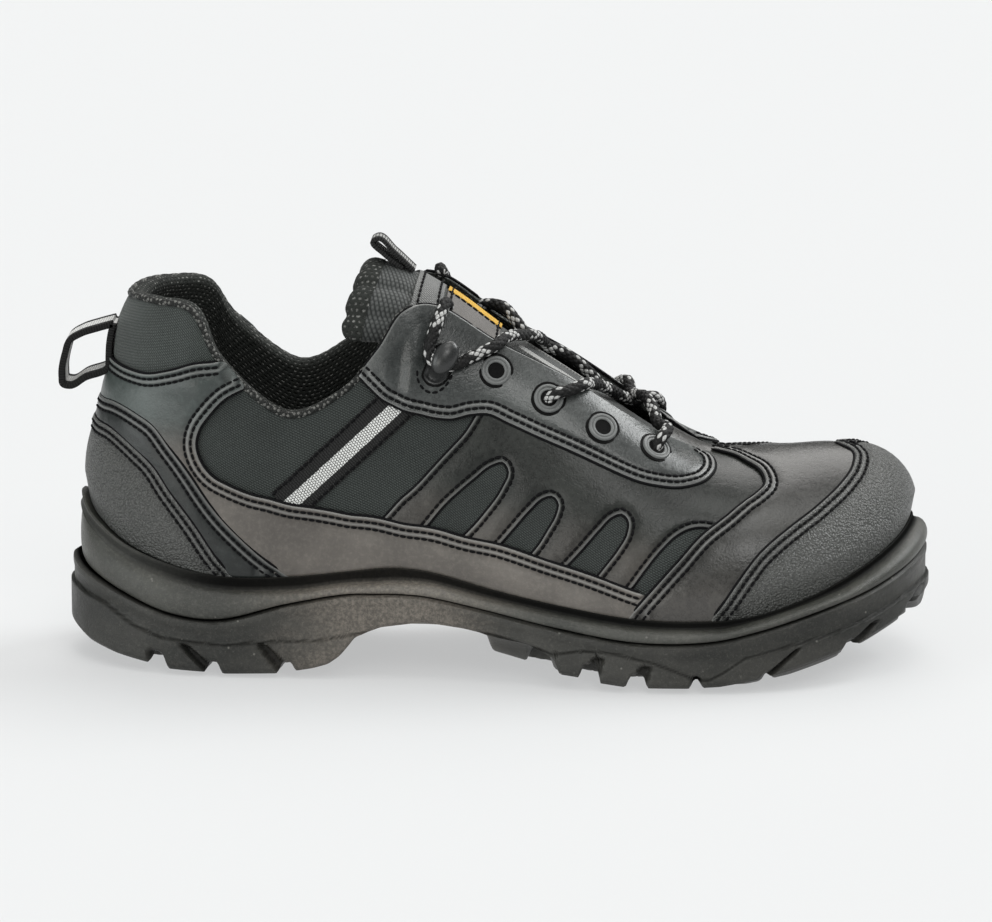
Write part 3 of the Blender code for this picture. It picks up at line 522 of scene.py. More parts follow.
class Bench:
    """Mesh steps shared by every piece, on Blender's own operators."""

    @staticmethod
    def clear() -> None:
        """Leaves nothing selected."""
        bpy.ops.object.select_all(action="DESELECT")

    @staticmethod
    def pick(obj: Piece) -> None:
        """Selects one object and makes it the active one.

        Args:
            obj: The piece.
        """
        Bench.clear()
        obj.select_set(True)
        bpy.context.view_layer.objects.active = obj

    @staticmethod
    def place(obj: Piece, points: Array) -> None:
        """Moves an object's vertices to points in metres."""
        obj.data.vertices.foreach_set("co", np.ascontiguousarray(points, np.float32).ravel())
        obj.data.update()

    @staticmethod
    def coords(obj: Piece) -> Array:
        """An object's vertices, in metres.

        Args:
            obj: The piece.

        Returns:
            One point for each vertex.
        """
        flat = np.empty(len(obj.data.vertices) * 3, np.float32)
        obj.data.vertices.foreach_get("co", flat)
        return flat.reshape(-1, 3).astype(float)

    @staticmethod
    def unwrap(obj: Piece, places: Array) -> None:
        """Gives a mesh a UV map from one flat place, in metres, for each vertex.

        Args:
            obj: The piece.
            places: One place for each vertex.
        """
        layer = obj.data.uv_layers.active or obj.data.uv_layers.new(name="cloth")
        corners = np.empty(len(obj.data.loops), np.int32)
        obj.data.loops.foreach_get("vertex_index", corners)
        layer.data.foreach_set("uv", np.ascontiguousarray(places[corners], np.float32).ravel())

    @staticmethod
    def mark(obj: Piece, name: str, values: Array) -> None:
        """Stores one number for each vertex."""
        attribute = obj.data.attributes.get(name) or obj.data.attributes.new(name, "FLOAT", "POINT")
        attribute.data.foreach_set("value", np.ascontiguousarray(values, np.float32))

    @staticmethod
    def add(name: str, data: bpy.types.ID) -> Piece:
        """A new object in the scene.

        Args:
            name: Name of the new object.
            data: Mesh, light or camera.

        Returns:
            The object.
        """
        obj = bpy.data.objects.new(name, data)
        bpy.context.scene.collection.objects.link(obj)
        return obj

    @staticmethod
    def mesh(name: str, points: Sequence, faces: Sequence) -> Piece:
        """A new mesh from points in metres and faces.

        Args:
            name: Name of the new object.
            points: Its vertices.
            faces: Vertex numbers of each face.

        Returns:
            The object.
        """
        data = bpy.data.meshes.new(name)
        data.from_pydata(points, [], faces)
        return Bench.add(name, data)

    @staticmethod
    def sheet(name: str, points: Array, places: Optional[Array] = None) -> Piece:
        """A grid shaped through rows of points.

        Args:
            name: Name of the new object.
            points: Rows by columns of points, in metres.
            places: The same grid of flat places in metres, for the UV map.

        Returns:
            The open mesh.
        """
        rows, columns = points.shape[:2]
        Bench.clear()
        bpy.ops.mesh.primitive_grid_add(x_subdivisions=columns - 1, y_subdivisions=rows - 1)
        obj = bpy.context.object
        obj.name = obj.data.name = name
        Bench.place(obj, points.reshape(-1, 3))
        while obj.data.uv_layers:
            obj.data.uv_layers.remove(obj.data.uv_layers[0])
        if places is not None:
            Bench.unwrap(obj, places.reshape(-1, 2))
        return obj

    @staticmethod
    def edit(obj: Piece, *steps: Callable[[], object]) -> Piece:
        """Runs edit-mode steps with the whole mesh selected before each one.

        Args:
            obj: The piece.
            steps: Operators to run.

        Returns:
            The piece.
        """
        Bench.pick(obj)
        bpy.ops.object.mode_set(mode="EDIT")
        for step in steps:
            bpy.ops.mesh.select_all(action="SELECT")
            step()
        bpy.ops.object.mode_set(mode="OBJECT")
        return obj

    @staticmethod
    def merge(obj: Piece, distance: float = 2e-6) -> Piece:
        """Merges doubles of an open sheet."""
        return Bench.edit(obj, lambda: bpy.ops.mesh.remove_doubles(threshold=distance))

    @staticmethod
    def weld(obj: Piece, distance: float = 2e-6) -> Piece:
        """Merges doubles and turns all faces outwards.

        Args:
            obj: The piece.
            distance: Merging distance in metres.

        Returns:
            The piece.
        """
        return Bench.edit(
            obj,
            lambda: bpy.ops.mesh.remove_doubles(threshold=distance),
            lambda: bpy.ops.mesh.dissolve_degenerate(threshold=1e-7),
            lambda: bpy.ops.mesh.normals_make_consistent(inside=False),
        )

    @staticmethod
    def face_along(obj: Piece, directions: Array) -> Piece:
        """Flips an open sheet unless its faces point along one direction, or one for each vertex.

        Args:
            obj: The piece.
            directions: Where the faces have to point.

        Returns:
            The piece.
        """
        normals = np.array([v.normal[:] for v in obj.data.vertices])
        if (normals * directions).sum() < 0:
            Bench.edit(obj, bpy.ops.mesh.flip_normals)
        return obj

    @staticmethod
    def modify(obj: Piece, kind: str, **settings: object) -> Piece:
        """Adds a modifier with its settings and applies it.

        Args:
            obj: The piece.
            kind: Type of modifier.
            settings: Its properties.

        Returns:
            The piece.
        """
        Bench.pick(obj)
        modifier = obj.modifiers.new(kind.lower(), kind)
        for key, value in settings.items():
            setattr(modifier, key, value)
        bpy.ops.object.modifier_apply(modifier=modifier.name)
        return obj

    @staticmethod
    def thicken(obj: Piece, thickness: float) -> Piece:
        """Gives an open sheet a wall behind its faces, in metres."""
        settings = {"offset": -1.0, "use_even_offset": False, "use_rim": True}
        return Bench.modify(obj, "SOLIDIFY", thickness=thickness, **settings)

    @staticmethod
    def smooth(obj: Piece, angle: float = 40.0) -> Piece:
        """Smooth shading up to an angle in degrees.

        Args:
            obj: The piece.
            angle: Sharpest angle that is smoothed.

        Returns:
            The piece.
        """
        Bench.pick(obj)
        bpy.ops.object.shade_smooth_by_angle(angle=math.radians(angle))
        return obj

    @staticmethod
    def join(name: str, objects: Sequence[Piece]) -> Piece:
        """One object from several.

        Args:
            name: Name of the new object.
            objects: Pieces; the first one stays.

        Returns:
            The joined piece.
        """
        Bench.clear()
        for obj in objects:
            obj.select_set(True)
        bpy.context.view_layer.objects.active = objects[0]
        if len(objects) > 1:
            bpy.ops.object.join()
        objects[0].name = objects[0].data.name = name
        return objects[0]

    @staticmethod
    def copies(name: str, template: Piece, places: Array, frames: Array) -> Piece:
        """One mesh of many copies of a small template, which is removed.

        Args:
            name: Name of the new object.
            template: The shape to repeat, round the origin.
            places: Centres, in metres.
            frames: A 3 by 3 matrix for each copy, with the axes as columns.

        Returns:
            The joined copies.
        """
        shape = Bench.coords(template)
        faces = [tuple(face.vertices) for face in template.data.polygons]
        starts = range(0, len(places) * len(shape), len(shape))
        points = np.einsum("nij,kj->nki", frames, shape) + places[:, None, :]
        bpy.data.objects.remove(template)
        copied = [[start + corner for corner in face] for start in starts for face in faces]
        return Bench.mesh(name, points.reshape(-1, 3).tolist(), copied)

    @staticmethod
    def tube(
        name: str, line: Array, radius: Union[float, Array], around: int, relief: Optional[Relief] = None
    ) -> Piece:
        """A closed round cord along a line.

        Args:
            name: Name of the new object.
            line: Points of its middle, in metres.
            radius: Radius in metres, one or one for each point.
            around: Faces round the cord.
            relief: Gives a factor on the radius from length along and angle round.

        Returns:
            The cord, with a UV map of length along and turns round.
        """
        tangents = unit(np.gradient(line, axis=0))
        side = np.empty_like(line)
        side[0] = unit(np.cross(tangents[0], [0.13, 0.21, 0.97]))
        for i in range(1, len(line)):
            side[i] = unit(side[i - 1] - tangents[i] * np.dot(side[i - 1], tangents[i]))
        other = np.cross(tangents, side)
        length = chord(line)
        radius = np.broadcast_to(np.asarray(radius, float), len(line)).copy()
        ends = np.clip(np.minimum(length, length[-1] - length) / np.maximum(radius, 1e-6), 0, 1)
        radius *= np.sqrt(np.clip(1 - (1 - ends) ** 2, 0, 1))
        angles = np.linspace(0, 2 * np.pi, around + 1)
        factor = relief(length[:, None], angles[None, :]) if relief else np.ones((len(line), around + 1))
        ring = side[:, None] * np.cos(angles)[None, :, None] + other[:, None] * np.sin(angles)[None, :, None]
        points = line[:, None] + ring * (radius[:, None] * factor)[..., None]
        places = np.stack(np.broadcast_arrays(length[:, None], angles[None] / (2 * np.pi)), axis=-1)
        return Bench.smooth(Bench.weld(Bench.sheet(name, points, places), 1e-7), 60)


Number = Union["Value", float]


class Value:
    """A shader socket that takes part in Python expressions."""

    def __init__(self, palette: "Palette", socket: Socket) -> None:
        """Keeps the socket and the palette that adds nodes."""
        self.palette, self.socket = palette, socket

    def math(self, operation: str, *others: Number) -> "Value":
        """Adds one Math node on this value and others."""
        return self.palette.math(operation, self, *others)

    def __add__(self, other: Number) -> "Value":
        """self + other"""
        return self.math("ADD", other)

    def __sub__(self, other: Number) -> "Value":
        """self - other"""
        return self.math("SUBTRACT", other)

    def __mul__(self, other: Number) -> "Value":
        """self * other"""
        return self.math("MULTIPLY", other)

    def __truediv__(self, other: Number) -> "Value":
        """self / other"""
        return self.math("DIVIDE", other)

    def __rsub__(self, other: float) -> "Value":
        """other - self"""
        return self.palette.math("SUBTRACT", other, self)

    __radd__ = __add__
    __rmul__ = __mul__

    def step(self, low: float, high: float) -> "Value":
        """A soft step from 0 at low to 1 at high.

        Args:
            low: Where the step starts.
            high: Where it ends.

        Returns:
            The step.
        """
        node = self.palette.node(
            "ShaderNodeMapRange",
            {"interpolation_type": "SMOOTHSTEP"},
            {"Value": self, "From Min": low, "From Max": high, "To Min": 0.0, "To Max": 1.0},
        )
        return Value(self.palette, node.outputs["Result"])

    def hump(self) -> "Value":
        """A half wave over each whole unit."""
        return (self.math("FRACT") * math.pi).math("SINE")

    def count(self, every: float) -> "Value":
        """The number of the whole unit, counted anew after every few."""
        return self.math("FLOOR").math("FLOORED_MODULO", every)

    def off(self, centre: float) -> "Value":
        """Distance from a centre."""
        return (self - centre).math("ABSOLUTE")


def tinted(colour: Colour, by: Union[float, Colour]) -> Colour:
    """A colour times a number, or times another colour."""
    return tuple(np.multiply(colour, by).tolist())


class Palette:
    """Builds the nodes of one material."""

    DULL_BLACK: Colour = (0.002, 0.002, 0.002)

    def __init__(self, name: str) -> None:
        """Starts a material with a Principled surface.

        Args:
            name: Name of the material.
        """
        self.material = bpy.data.materials.new(name)
        self.material.use_nodes = True
        self.tree = self.material.node_tree
        self.surface = self.tree.nodes["Principled BSDF"]

    def node(
        self, kind: str, settings: Optional[dict] = None, inputs: Optional[dict] = None
    ) -> bpy.types.Node:
        """Adds a node.

        Args:
            kind: Node type.
            settings: Properties, set first.
            inputs: Values or links, by socket name or number.

        Returns:
            The node.
        """
        made = self.tree.nodes.new(kind)
        for key, value in (settings or {}).items():
            setattr(made, key, value)
        for key, value in (inputs or {}).items():
            self.feed(made.inputs[key], value)
        return made

    def feed(self, socket: Socket, value: object) -> None:
        """Links a value or socket, or sets a constant.

        Args:
            socket: Input of a node.
            value: What goes in.
        """
        if isinstance(value, Value):
            self.tree.links.new(value.socket, socket)
        elif isinstance(value, Socket):
            self.tree.links.new(value, socket)
        elif isinstance(value, tuple) and len(value) == 3 and socket.type == "RGBA":
            socket.default_value = (*value, 1.0)
        else:
            socket.default_value = value

    def math(self, operation: str, *values: Number) -> Value:
        """Adds one Math node."""
        node = self.node("ShaderNodeMath", {"operation": operation}, dict(enumerate(values)))
        return Value(self, node.outputs[0])

    def object_place(self, scale: Point = (1, 1, 1), turn: Point = (0, 0, 0)) -> Socket:
        """Object coordinates, turned and scaled.

        Args:
            scale: Scale of each axis.
            turn: Turn round each axis.

        Returns:
            The place.
        """
        source = self.node("ShaderNodeTexCoord").outputs["Object"]
        inputs = {"Vector": source, "Rotation": turn, "Scale": scale}
        return self.node("ShaderNodeMapping", {"vector_type": "POINT"}, inputs).outputs["Vector"]

    def axes(self, place: Socket) -> list[Value]:
        """A place as its x, y and z."""
        return [Value(self, axis) for axis in self.node("ShaderNodeSeparateXYZ", None, {0: place}).outputs]

    def cloth_place(self) -> list[Value]:
        """The piece's own UV map as two values, in metres."""
        return self.axes(self.node("ShaderNodeUVMap", {"uv_map": "cloth"}).outputs["UV"])[:2]

    def marked(self, name: str) -> Value:
        """A number stored on the mesh."""
        return Value(self, self.node("ShaderNodeAttribute", {"attribute_name": name}).outputs["Fac"])

    def noise(self, place: object, scale: float, detail: float = 3.0, roughness: float = 0.55) -> Value:
        """Soft noise from 0 to 1."""
        inputs = {"Vector": place, "Scale": scale, "Detail": detail, "Roughness": roughness}
        return Value(self, self.node("ShaderNodeTexNoise", None, inputs).outputs[0])

    def cells(self, place: object, scale: float) -> Value:
        """Distance from the middles of a cell pattern."""
        inputs = {"Vector": place, "Scale": scale}
        return Value(self, self.node("ShaderNodeTexVoronoi", None, inputs).outputs["Distance"])

    def blend(self, factor: Number, first: object, second: object) -> Socket:
        """Mixes two colours."""
        inputs = {"Factor": factor, 6: first, 7: second}
        return self.node("ShaderNodeMix", {"data_type": "RGBA"}, inputs).outputs[2]

    def bump(self, height: Value, distance: float, strength: float = 1.0) -> Socket:
        """A bump from a height in units of distance, in metres."""
        inputs = {"Height": height, "Distance": distance, "Strength": strength}
        return self.node("ShaderNodeBump", None, inputs).outputs["Normal"]

    def finish(
        self,
        colour: object,
        roughness: Number,
        normal: object = None,
        dark: Optional[Value] = None,
        **constants: object,
    ) -> Material:
        """Feeds the surface.

        Args:
            colour: Base colour.
            roughness: Roughness.
            normal: Normal from a bump.
            dark: Where painted shade turns the surface dull black, from 0 to 1.
            constants: Other inputs, by name with underscores.

        Returns:
            The material.
        """
        inputs = {"Base Color": colour, "Roughness": roughness, **constants}
        if normal is not None:
            inputs["Normal"] = normal
        for key, value in inputs.items():
            self.feed(self.surface.inputs[key.replace("_", " ")], value)
        # Painted shade: a dull black surface mixed in where the mark is set.
        if dark is not None:
            dull = self.node("ShaderNodeBsdfDiffuse", None, {"Color": self.DULL_BLACK})
            inputs = {0: dark, 1: self.surface.outputs[0], 2: dull.outputs[0]}
            mix = self.node("ShaderNodeMixShader", None, inputs)
            self.feed(self.tree.nodes["Material Output"].inputs["Surface"], mix.outputs[0])
        return self.material


@dataclass(frozen=True)
class Finish:
    """A material of the shoe; each kind builds its own nodes."""

    name: str
    slot: str

    def paint(self, p: Palette) -> Material:
        """Builds the nodes."""
        raise NotImplementedError

    def make(self) -> Material:
        """Builds the material."""
        return self.paint(Palette(self.name))

    def dress(self, obj: Piece) -> Piece:
        """Puts the finish on a piece.

        Args:
            obj: The piece.

        Returns:
            The piece.
        """
        material = bpy.data.materials.get(self.name) or self.make()
        obj.data.materials.clear()
        obj.data.materials.append(material)
        return obj


# How dark the painted shade in the sunk rows of stitches is
SEAM_SHADE_SHARE = 0.6


@dataclass(frozen=True)
class SmoothLeather(Finish):
    """Semi-gloss leather with a fine grain; painted shade in its seams, painted highlights on its edges and
    ridges, and painted shade that makes it darker and cooler high up.
    """

    colour: Colour = (0.020, 0.022, 0.021)
    rubbed: Colour = (0.056, 0.060, 0.057)
    gloss: float = 0.33
    edge: Colour = (0.27, 0.272, 0.265)
    edge_share: float = 0.6
    cool: Colour = (0.5, 0.6, 0.57)
    cool_from: float = 0.076
    cool_tilt: float = 0.0
    cool_rise: float = 0.016
    cool_share: float = 0.0
    shine: float = 0.5

    def paint(self, p: Palette) -> Material:
        """Builds the nodes.

        Args:
            p: Palette of the new material.

        Returns:
            The material.
        """
        place = p.object_place()
        cloud = p.noise(place, 34.0, 4.0)
        mottle = p.noise(place, 620.0, 4.0, 0.7)
        grain = p.cells(place, 1500.0)
        wrinkle = p.noise(p.object_place((1, 1, 1.6), (0.2, 0.5, 0.3)), 240.0, 3.0, 0.5)
        worn = cloud.step(0.34, 0.74) * 0.7 + mottle.step(0.42, 0.75) * 0.4
        tone = p.blend(worn, self.colour, self.rubbed)
        # Painted light by height: above a given height the tone turns darker and cooler, as painted shade, and
        # below it stays lighter, as a painted reflection of the floor.
        if self.cool_share > 0:
            painted_shade_tone = p.blend(worn, tinted(self.colour, self.cool), tinted(self.rubbed, self.cool))
            along, _, high = p.axes(place)
            high = (high + along * self.cool_tilt).step(self.cool_from, self.cool_from + self.cool_rise)
            tone = p.blend(high * self.cool_share, tone, painted_shade_tone)
        # Painted highlight along the cut edges and on the ridge between the rows of stitches, partly the cut
        # edge's own lighter colour.
        tone = p.blend(p.marked("edge") * self.edge_share, tone, self.edge)
        rough = self.gloss + (cloud - 0.5) * 0.16 + (mottle - 0.5) * 0.3
        height = mottle * 0.8 + grain * 0.3 + wrinkle * 0.9
        normal = p.bump(height, 0.00020, 0.6)
        # Painted shade in the rows of stitches, from the seam mark.
        return p.finish(tone, rough, normal, p.marked("seam") * SEAM_SHADE_SHARE, Specular_IOR_Level=self.shine)


@dataclass(frozen=True)
class PebbledLeather(Finish):
    """Coated leather with a raised pebble grain, painted shade in the hollows between the pebbles and painted
    highlights on its cut edges.
    """

    colour: Colour = (0.056, 0.058, 0.054)
    pebble: float = 1250.0
    wander: float = 0.0010
    shine: float = 0.65

    def paint(self, p: Palette) -> Material:
        """Builds the nodes.

        Args:
            p: Palette of the new material.

        Returns:
            The material.
        """
        place = p.object_place()
        warp = p.node("ShaderNodeTexNoise", None, {"Vector": place, "Scale": 500.0, "Detail": 2.0})
        inputs = {0: warp.outputs["Color"], 1: (self.wander,) * 3, 2: place}
        moved = p.node("ShaderNodeVectorMath", {"operation": "MULTIPLY_ADD"}, inputs)
        lumps = p.cells(moved.outputs[0], self.pebble)
        fine = p.noise(place, 1900.0, 3.0, 0.7)
        cloud = p.noise(place, 40.0, 3.0)
        # Lighter on the pebbles' tops, darker in the hollows between them: painted shade of the grain.
        tone = p.blend(lumps.step(0.2, 0.7), tinted(self.colour, 1.3), tinted(self.colour, 0.6))
        tone = p.blend(fine.step(0.62, 0.8) * 0.25, tone, (0.12, 0.12, 0.115))
        tone = p.blend(cloud.step(0.3, 0.8) * 0.3, tone, (0.060, 0.060, 0.056))
        # Painted highlight along the cut edges, partly their own lighter colour.
        tone = p.blend(p.marked("edge") * 0.5, tone, (0.20, 0.20, 0.195))
        rough = 0.32 + lumps * 0.2 + (fine - 0.5) * 0.2
        height = (1 - lumps) + fine * 0.3
        normal = p.bump(height, 0.00055, 1.0)
        # Painted shade in the rows of stitches, from the seam mark.
        return p.finish(tone, rough, normal, p.marked("seam") * SEAM_SHADE_SHARE, Specular_IOR_Level=self.shine)


@dataclass(frozen=True)
class Weave(Finish):
    """Woven cloth of short ribs, each row set off by half a rib, with painted light where set: lighter high up,
    darker low down.
    """

    colour: Colour = (0.007, 0.009, 0.0085)
    light: Colour = (0.066, 0.078, 0.072)
    rib: float = 0.0008
    float_length: float = 0.0011
    turn: float = 28.0
    relief: float = 0.00026
    fuzz: float = 0.15
    lit_from: float = 0.098
    lit_rise: float = 0.014
    lit: float = 0.0

    def paint(self, p: Palette) -> Material:
        """Builds the nodes.

        Args:
            p: Palette of the new material.

        Returns:
            The material.
        """
        a, b = p.cloth_place()
        c, s = math.cos(math.radians(self.turn)), math.sin(math.radians(self.turn))
        across = (a * c + b * s) / self.float_length
        rows = (b * c - a * s) / self.rib
        lumps = (across + rows.count(2.0) * 0.5).hump()
        height = rows.hump() * (lumps * 0.65 + 0.35)
        cloud = p.noise(p.object_place(), 55.0, 3.0)
        speck = p.noise(p.object_place(), 1100.0, 2.0, 0.7)
        shown = height * (cloud * 0.7 + 0.1 + speck * 0.6)
        # Painted light by height: lighter above a given height, and darker below it as painted shade.
        if self.lit > 0:
            high = p.axes(p.object_place())[2].step(self.lit_from, self.lit_from + self.lit_rise)
            shown = shown * (high * self.lit + (1 - 0.25 * self.lit))
        tone = p.blend(shown, self.colour, self.light)
        normal = p.bump(height + speck * 0.4, self.relief)
        fuzz = {"Sheen_Weight": self.fuzz, "Sheen_Roughness": 0.45}
        return p.finish(tone, 0.7 - height * 0.15, normal, Specular_IOR_Level=0.3, **fuzz)


@dataclass(frozen=True)
class KnitLining(Finish):
    """Black spacer knit with light thread showing in its holes."""

    colour: Colour = (0.022, 0.024, 0.022)
    light: Colour = (0.24, 0.24, 0.228)
    cell: float = 0.0021

    def paint(self, p: Palette) -> Material:
        """Builds the nodes.

        Args:
            p: Palette of the new material.

        Returns:
            The material.
        """
        a, b = p.cloth_place()
        rows = b / (self.cell * 0.7)
        x = (a / self.cell + rows.count(2.0) * 0.5).math("FRACT").off(0.5) * 2.0
        y = rows.math("FRACT").off(0.5) * 2.0
        loop = (x * x * 1.1 + y * y * 1.3).math("SQRT")
        speckle = p.noise(p.object_place(), 620.0, 3.0, 0.7)
        shown = (1 - loop.step(0.3, 0.8)) * speckle.step(0.42, 0.68)
        tone = p.blend(shown, self.colour, self.light)
        height = loop.step(0.1, 0.9) + speckle * 0.5
        return p.finish(tone, 0.9, p.bump(height, 0.0006, 0.9), Specular_IOR_Level=0.2)


@dataclass(frozen=True)
class MouldedSole(Finish):
    """Satin moulded polymer with a sanded skin and small flecks, browner under the arch, with painted shade in
    its coves and grooves.
    """

    colour: Colour = (0.024, 0.025, 0.021)
    rubbed: Colour = (0.102, 0.101, 0.088)
    brown: Colour = (0.250, 0.218, 0.185)
    arch_x: float = -0.035
    arch_run: float = 0.060
    gloss: float = 0.40
    dust: float = 0.5
    shine: float = 0.5

    def paint(self, p: Palette) -> Material:
        """Builds the nodes.

        Args:
            p: Palette of the new material.

        Returns:
            The material.
        """
        place = p.object_place()
        cloud = p.noise(p.object_place((1, 1, 2.2)), 26.0, 4.0)
        fine = p.noise(place, 760.0, 5.0, 0.75)
        sand = p.noise(place, 1700.0, 3.0, 0.8)
        skin = p.noise(place, 140.0, 4.0, 0.6)
        flecks = p.cells(place, 150.0)
        away = p.axes(place)[0].off(self.arch_x) + (cloud - 0.5) * 0.04
        arch = 1 - away.step(0.2 * self.arch_run, self.arch_run)
        worn = cloud.step(0.36, 0.74) * self.dust + fine.step(0.45, 0.75) * 0.45
        tone = p.blend(worn, self.colour, self.rubbed)
        tone = p.blend(arch * (0.25 + fine.step(0.35, 0.7) * 0.45), tone, self.brown)
        tone = p.blend(sand.step(0.58, 0.72) * 0.35, tone, (0.16, 0.158, 0.14))
        tone = p.blend((1 - sand.step(0.30, 0.42)) * 0.6, tone, (0.006, 0.006, 0.005))
        tone = p.blend((1 - flecks.step(0.04, 0.08)) * 0.7, tone, (0.16, 0.155, 0.14))
        rough = self.gloss + (skin - 0.5) * 0.3 + (fine - 0.5) * 0.35
        normal = p.bump(fine * 0.9 + skin + sand * 0.5, 0.00034, 0.7)
        # Painted shade from the seam mark, in the coves and grooves.
        return p.finish(tone, rough, normal, p.marked("seam") * 0.95, Specular_IOR_Level=self.shine)


@dataclass(frozen=True)
class Lacquer(Finish):
    """Painted metal or moulded fittings with a worn, slightly uneven gloss."""

    colour: Colour = (0.105, 0.108, 0.108)
    gloss: float = 0.42
    shine: float = 0.5

    def paint(self, p: Palette) -> Material:
        """Builds the nodes.

        Args:
            p: Palette of the new material.

        Returns:
            The material.
        """
        place = p.object_place()
        fine = p.noise(place, 1400.0, 3.0)
        worn = p.noise(place, 230.0, 4.0)
        tone = p.blend(worn.step(0.45, 0.75) * 0.6, self.colour, tinted(self.colour, 0.55))
        rough = self.gloss + (fine - 0.5) * 0.25
        return p.finish(tone, rough, p.bump(fine, 0.00006, 0.5), Specular_IOR_Level=self.shine)


@dataclass(frozen=True)
class BraidedCord(Finish):
    """Round braid of black threads with light flecks."""

    colour: Colour = (0.007, 0.007, 0.007)
    light: Colour = (0.56, 0.56, 0.55)
    pitch: float = 0.0056
    strands: int = 12
    every: float = 6.0
    shine: float = 0.22

    def paint(self, p: Palette) -> Material:
        """Builds the nodes.

        Args:
            p: Palette of the new material.

        Returns:
            The material.
        """
        along, turns = p.cloth_place()
        first = (along / self.pitch + turns * (self.strands / 4)) * 2.0
        second = (along / self.pitch - turns * (self.strands / 4)) * 2.0
        over = (first.math("FLOOR") + second.math("FLOOR")).math("FLOORED_MODULO", 2.0)
        ridge = first.hump() * second.hump()
        one = 1 - second.count(self.every).off(0.5).step(0.6, 0.9)
        two = 1 - first.count(self.every).off(2.5).step(0.6, 0.9)
        fleck = one * over + two * (1 - over)
        fibre = p.noise(p.object_place(), 1500.0, 3.0)
        tone = p.blend(fleck * ridge.step(0.06, 0.4) * (fibre * 1.6), self.colour, self.light)
        tone = p.blend(fibre.step(0.58, 0.75) * 0.35, tone, (0.10, 0.10, 0.098))
        return p.finish(tone, 0.6, p.bump(ridge + fibre * 0.4, 0.0003, 0.8), Specular_IOR_Level=self.shine)


@dataclass(frozen=True)
class Webbing(Finish):
    """Woven tape with ribs across it and a light stripe along its middle."""

    colour: Colour = (0.011, 0.011, 0.011)
    light: Colour = (0.40, 0.40, 0.39)
    stripe_from: float = -0.0022
    stripe_to: float = 0.0022
    soft: float = 0.0002
    rib: float = 0.00095
    solid: float = 0.1

    def paint(self, p: Palette) -> Material:
        """Builds the nodes.

        Args:
            p: Palette of the new material.

        Returns:
            The material.
        """
        along, across = p.cloth_place()
        wave = (along / self.rib).hump()
        thread = (across / (self.rib * 1.05) + (along / self.rib).math("FLOOR") * 0.5).hump()
        start, end = (across.step(x - self.soft, x + self.soft) for x in (self.stripe_from, self.stripe_to))
        inside = start * (1 - end)
        checks = (wave * thread).step(0.18, 0.42)
        dark = p.blend(wave.step(0.55, 1.0) * 0.6, self.colour, tinted(self.colour, 3.0))
        tone = p.blend(inside * (checks * (1 - self.solid) + self.solid), dark, self.light)
        normal = p.bump(wave * (thread * 0.6 + 0.4), 0.0003, 0.9)
        return p.finish(tone, 0.75, normal, Specular_IOR_Level=0.2)


@dataclass(frozen=True)
class Thread(Finish):
    """Bonded sewing thread with a slight twist."""

    colour: Colour = (0.008, 0.008, 0.009)

    def paint(self, p: Palette) -> Material:
        """Builds the nodes.

        Args:
            p: Palette of the new material.

        Returns:
            The material.
        """
        twist = p.noise(p.object_place((1, 1, 3)), 1600.0, 2.0)
        tone = p.blend(twist.step(0.4, 0.8), self.colour, tinted(self.colour, 3.0))
        return p.finish(tone, 0.6 + twist * 0.2, p.bump(twist, 0.00008, 0.6), Specular_IOR_Level=0.12)


@dataclass(frozen=True)
class PaleFloor(Finish):
    """Matte studio floor that glows a little, like a light table."""

    colour: Colour = (0.262, 0.265, 0.267)
    glow: float = 0.48
    glow_colour: Colour = (0.985, 0.995, 1.0)

    def paint(self, p: Palette) -> Material:
        """Builds the nodes.

        Args:
            p: Palette of the new material.

        Returns:
            The material.
        """
        cloud = p.noise(p.object_place(), 2.0, 2.0)
        tone = p.blend(cloud * 0.1, self.colour, tinted(self.colour, 0.98))
        glow = {"Emission_Color": self.glow_colour, "Emission_Strength": self.glow}
        return p.finish(tone, 0.9, Specular_IOR_Level=0.1, **glow)


# Where set, a leather is darker and cooler above a given height, as painted shade, and keeps its lighter tone
# below it, as a painted reflection of the floor.
LEATHER = SmoothLeather(
    "black_leather", "leather", colour=(0.030, 0.033, 0.032), rubbed=(0.080, 0.087, 0.084), gloss=0.28,
    cool=(0.50, 0.52, 0.52), cool_from=0.098, cool_share=1.0, shine=0.55,
)
QUARTER_LEATHER = SmoothLeather(
    "quarter_leather", "leather", colour=(0.036, 0.034, 0.031), rubbed=(0.098, 0.091, 0.082), gloss=0.30,
    cool=(0.36, 0.42, 0.42), cool_from=0.054, cool_tilt=0.21, cool_share=1.0, shine=0.30,
)
HEEL_LEATHER = SmoothLeather(
    "heel_leather", "leather", colour=(0.012, 0.014, 0.0135), rubbed=(0.032, 0.036, 0.035), shine=0.4
)
# Its light brown tone is partly the leather's own colour and partly painted sheen.
BROWN_SHEEN_LEATHER = SmoothLeather(
    "browned_leather", "leather", colour=(0.078, 0.070, 0.062), rubbed=(0.165, 0.148, 0.131), gloss=0.36,
    cool=(0.44, 0.60, 0.64), cool_share=1.0,
)
VAMP_LEATHER = SmoothLeather(
    "vamp_leather", "leather", colour=(0.030, 0.028, 0.026), rubbed=(0.086, 0.080, 0.072), gloss=0.28,
    cool=(0.52, 0.55, 0.55), cool_from=0.030, cool_share=1.0,
)
PEBBLED = PebbledLeather("pebbled_leather", "pebbled")
CLOTH = Weave("upper_cloth", "fabric", lit=0.6)
TONGUE_CLOTH = Weave(
    "tongue_cloth", "fabric", light=(0.100, 0.105, 0.102), rib=0.0012, float_length=0.0014, turn=62.0
)
LABEL_CLOTH = Weave(
    "label_cloth", "fabric", colour=(0.09, 0.085, 0.08), light=(0.30, 0.28, 0.265),
    rib=0.0005, float_length=0.0006,
)
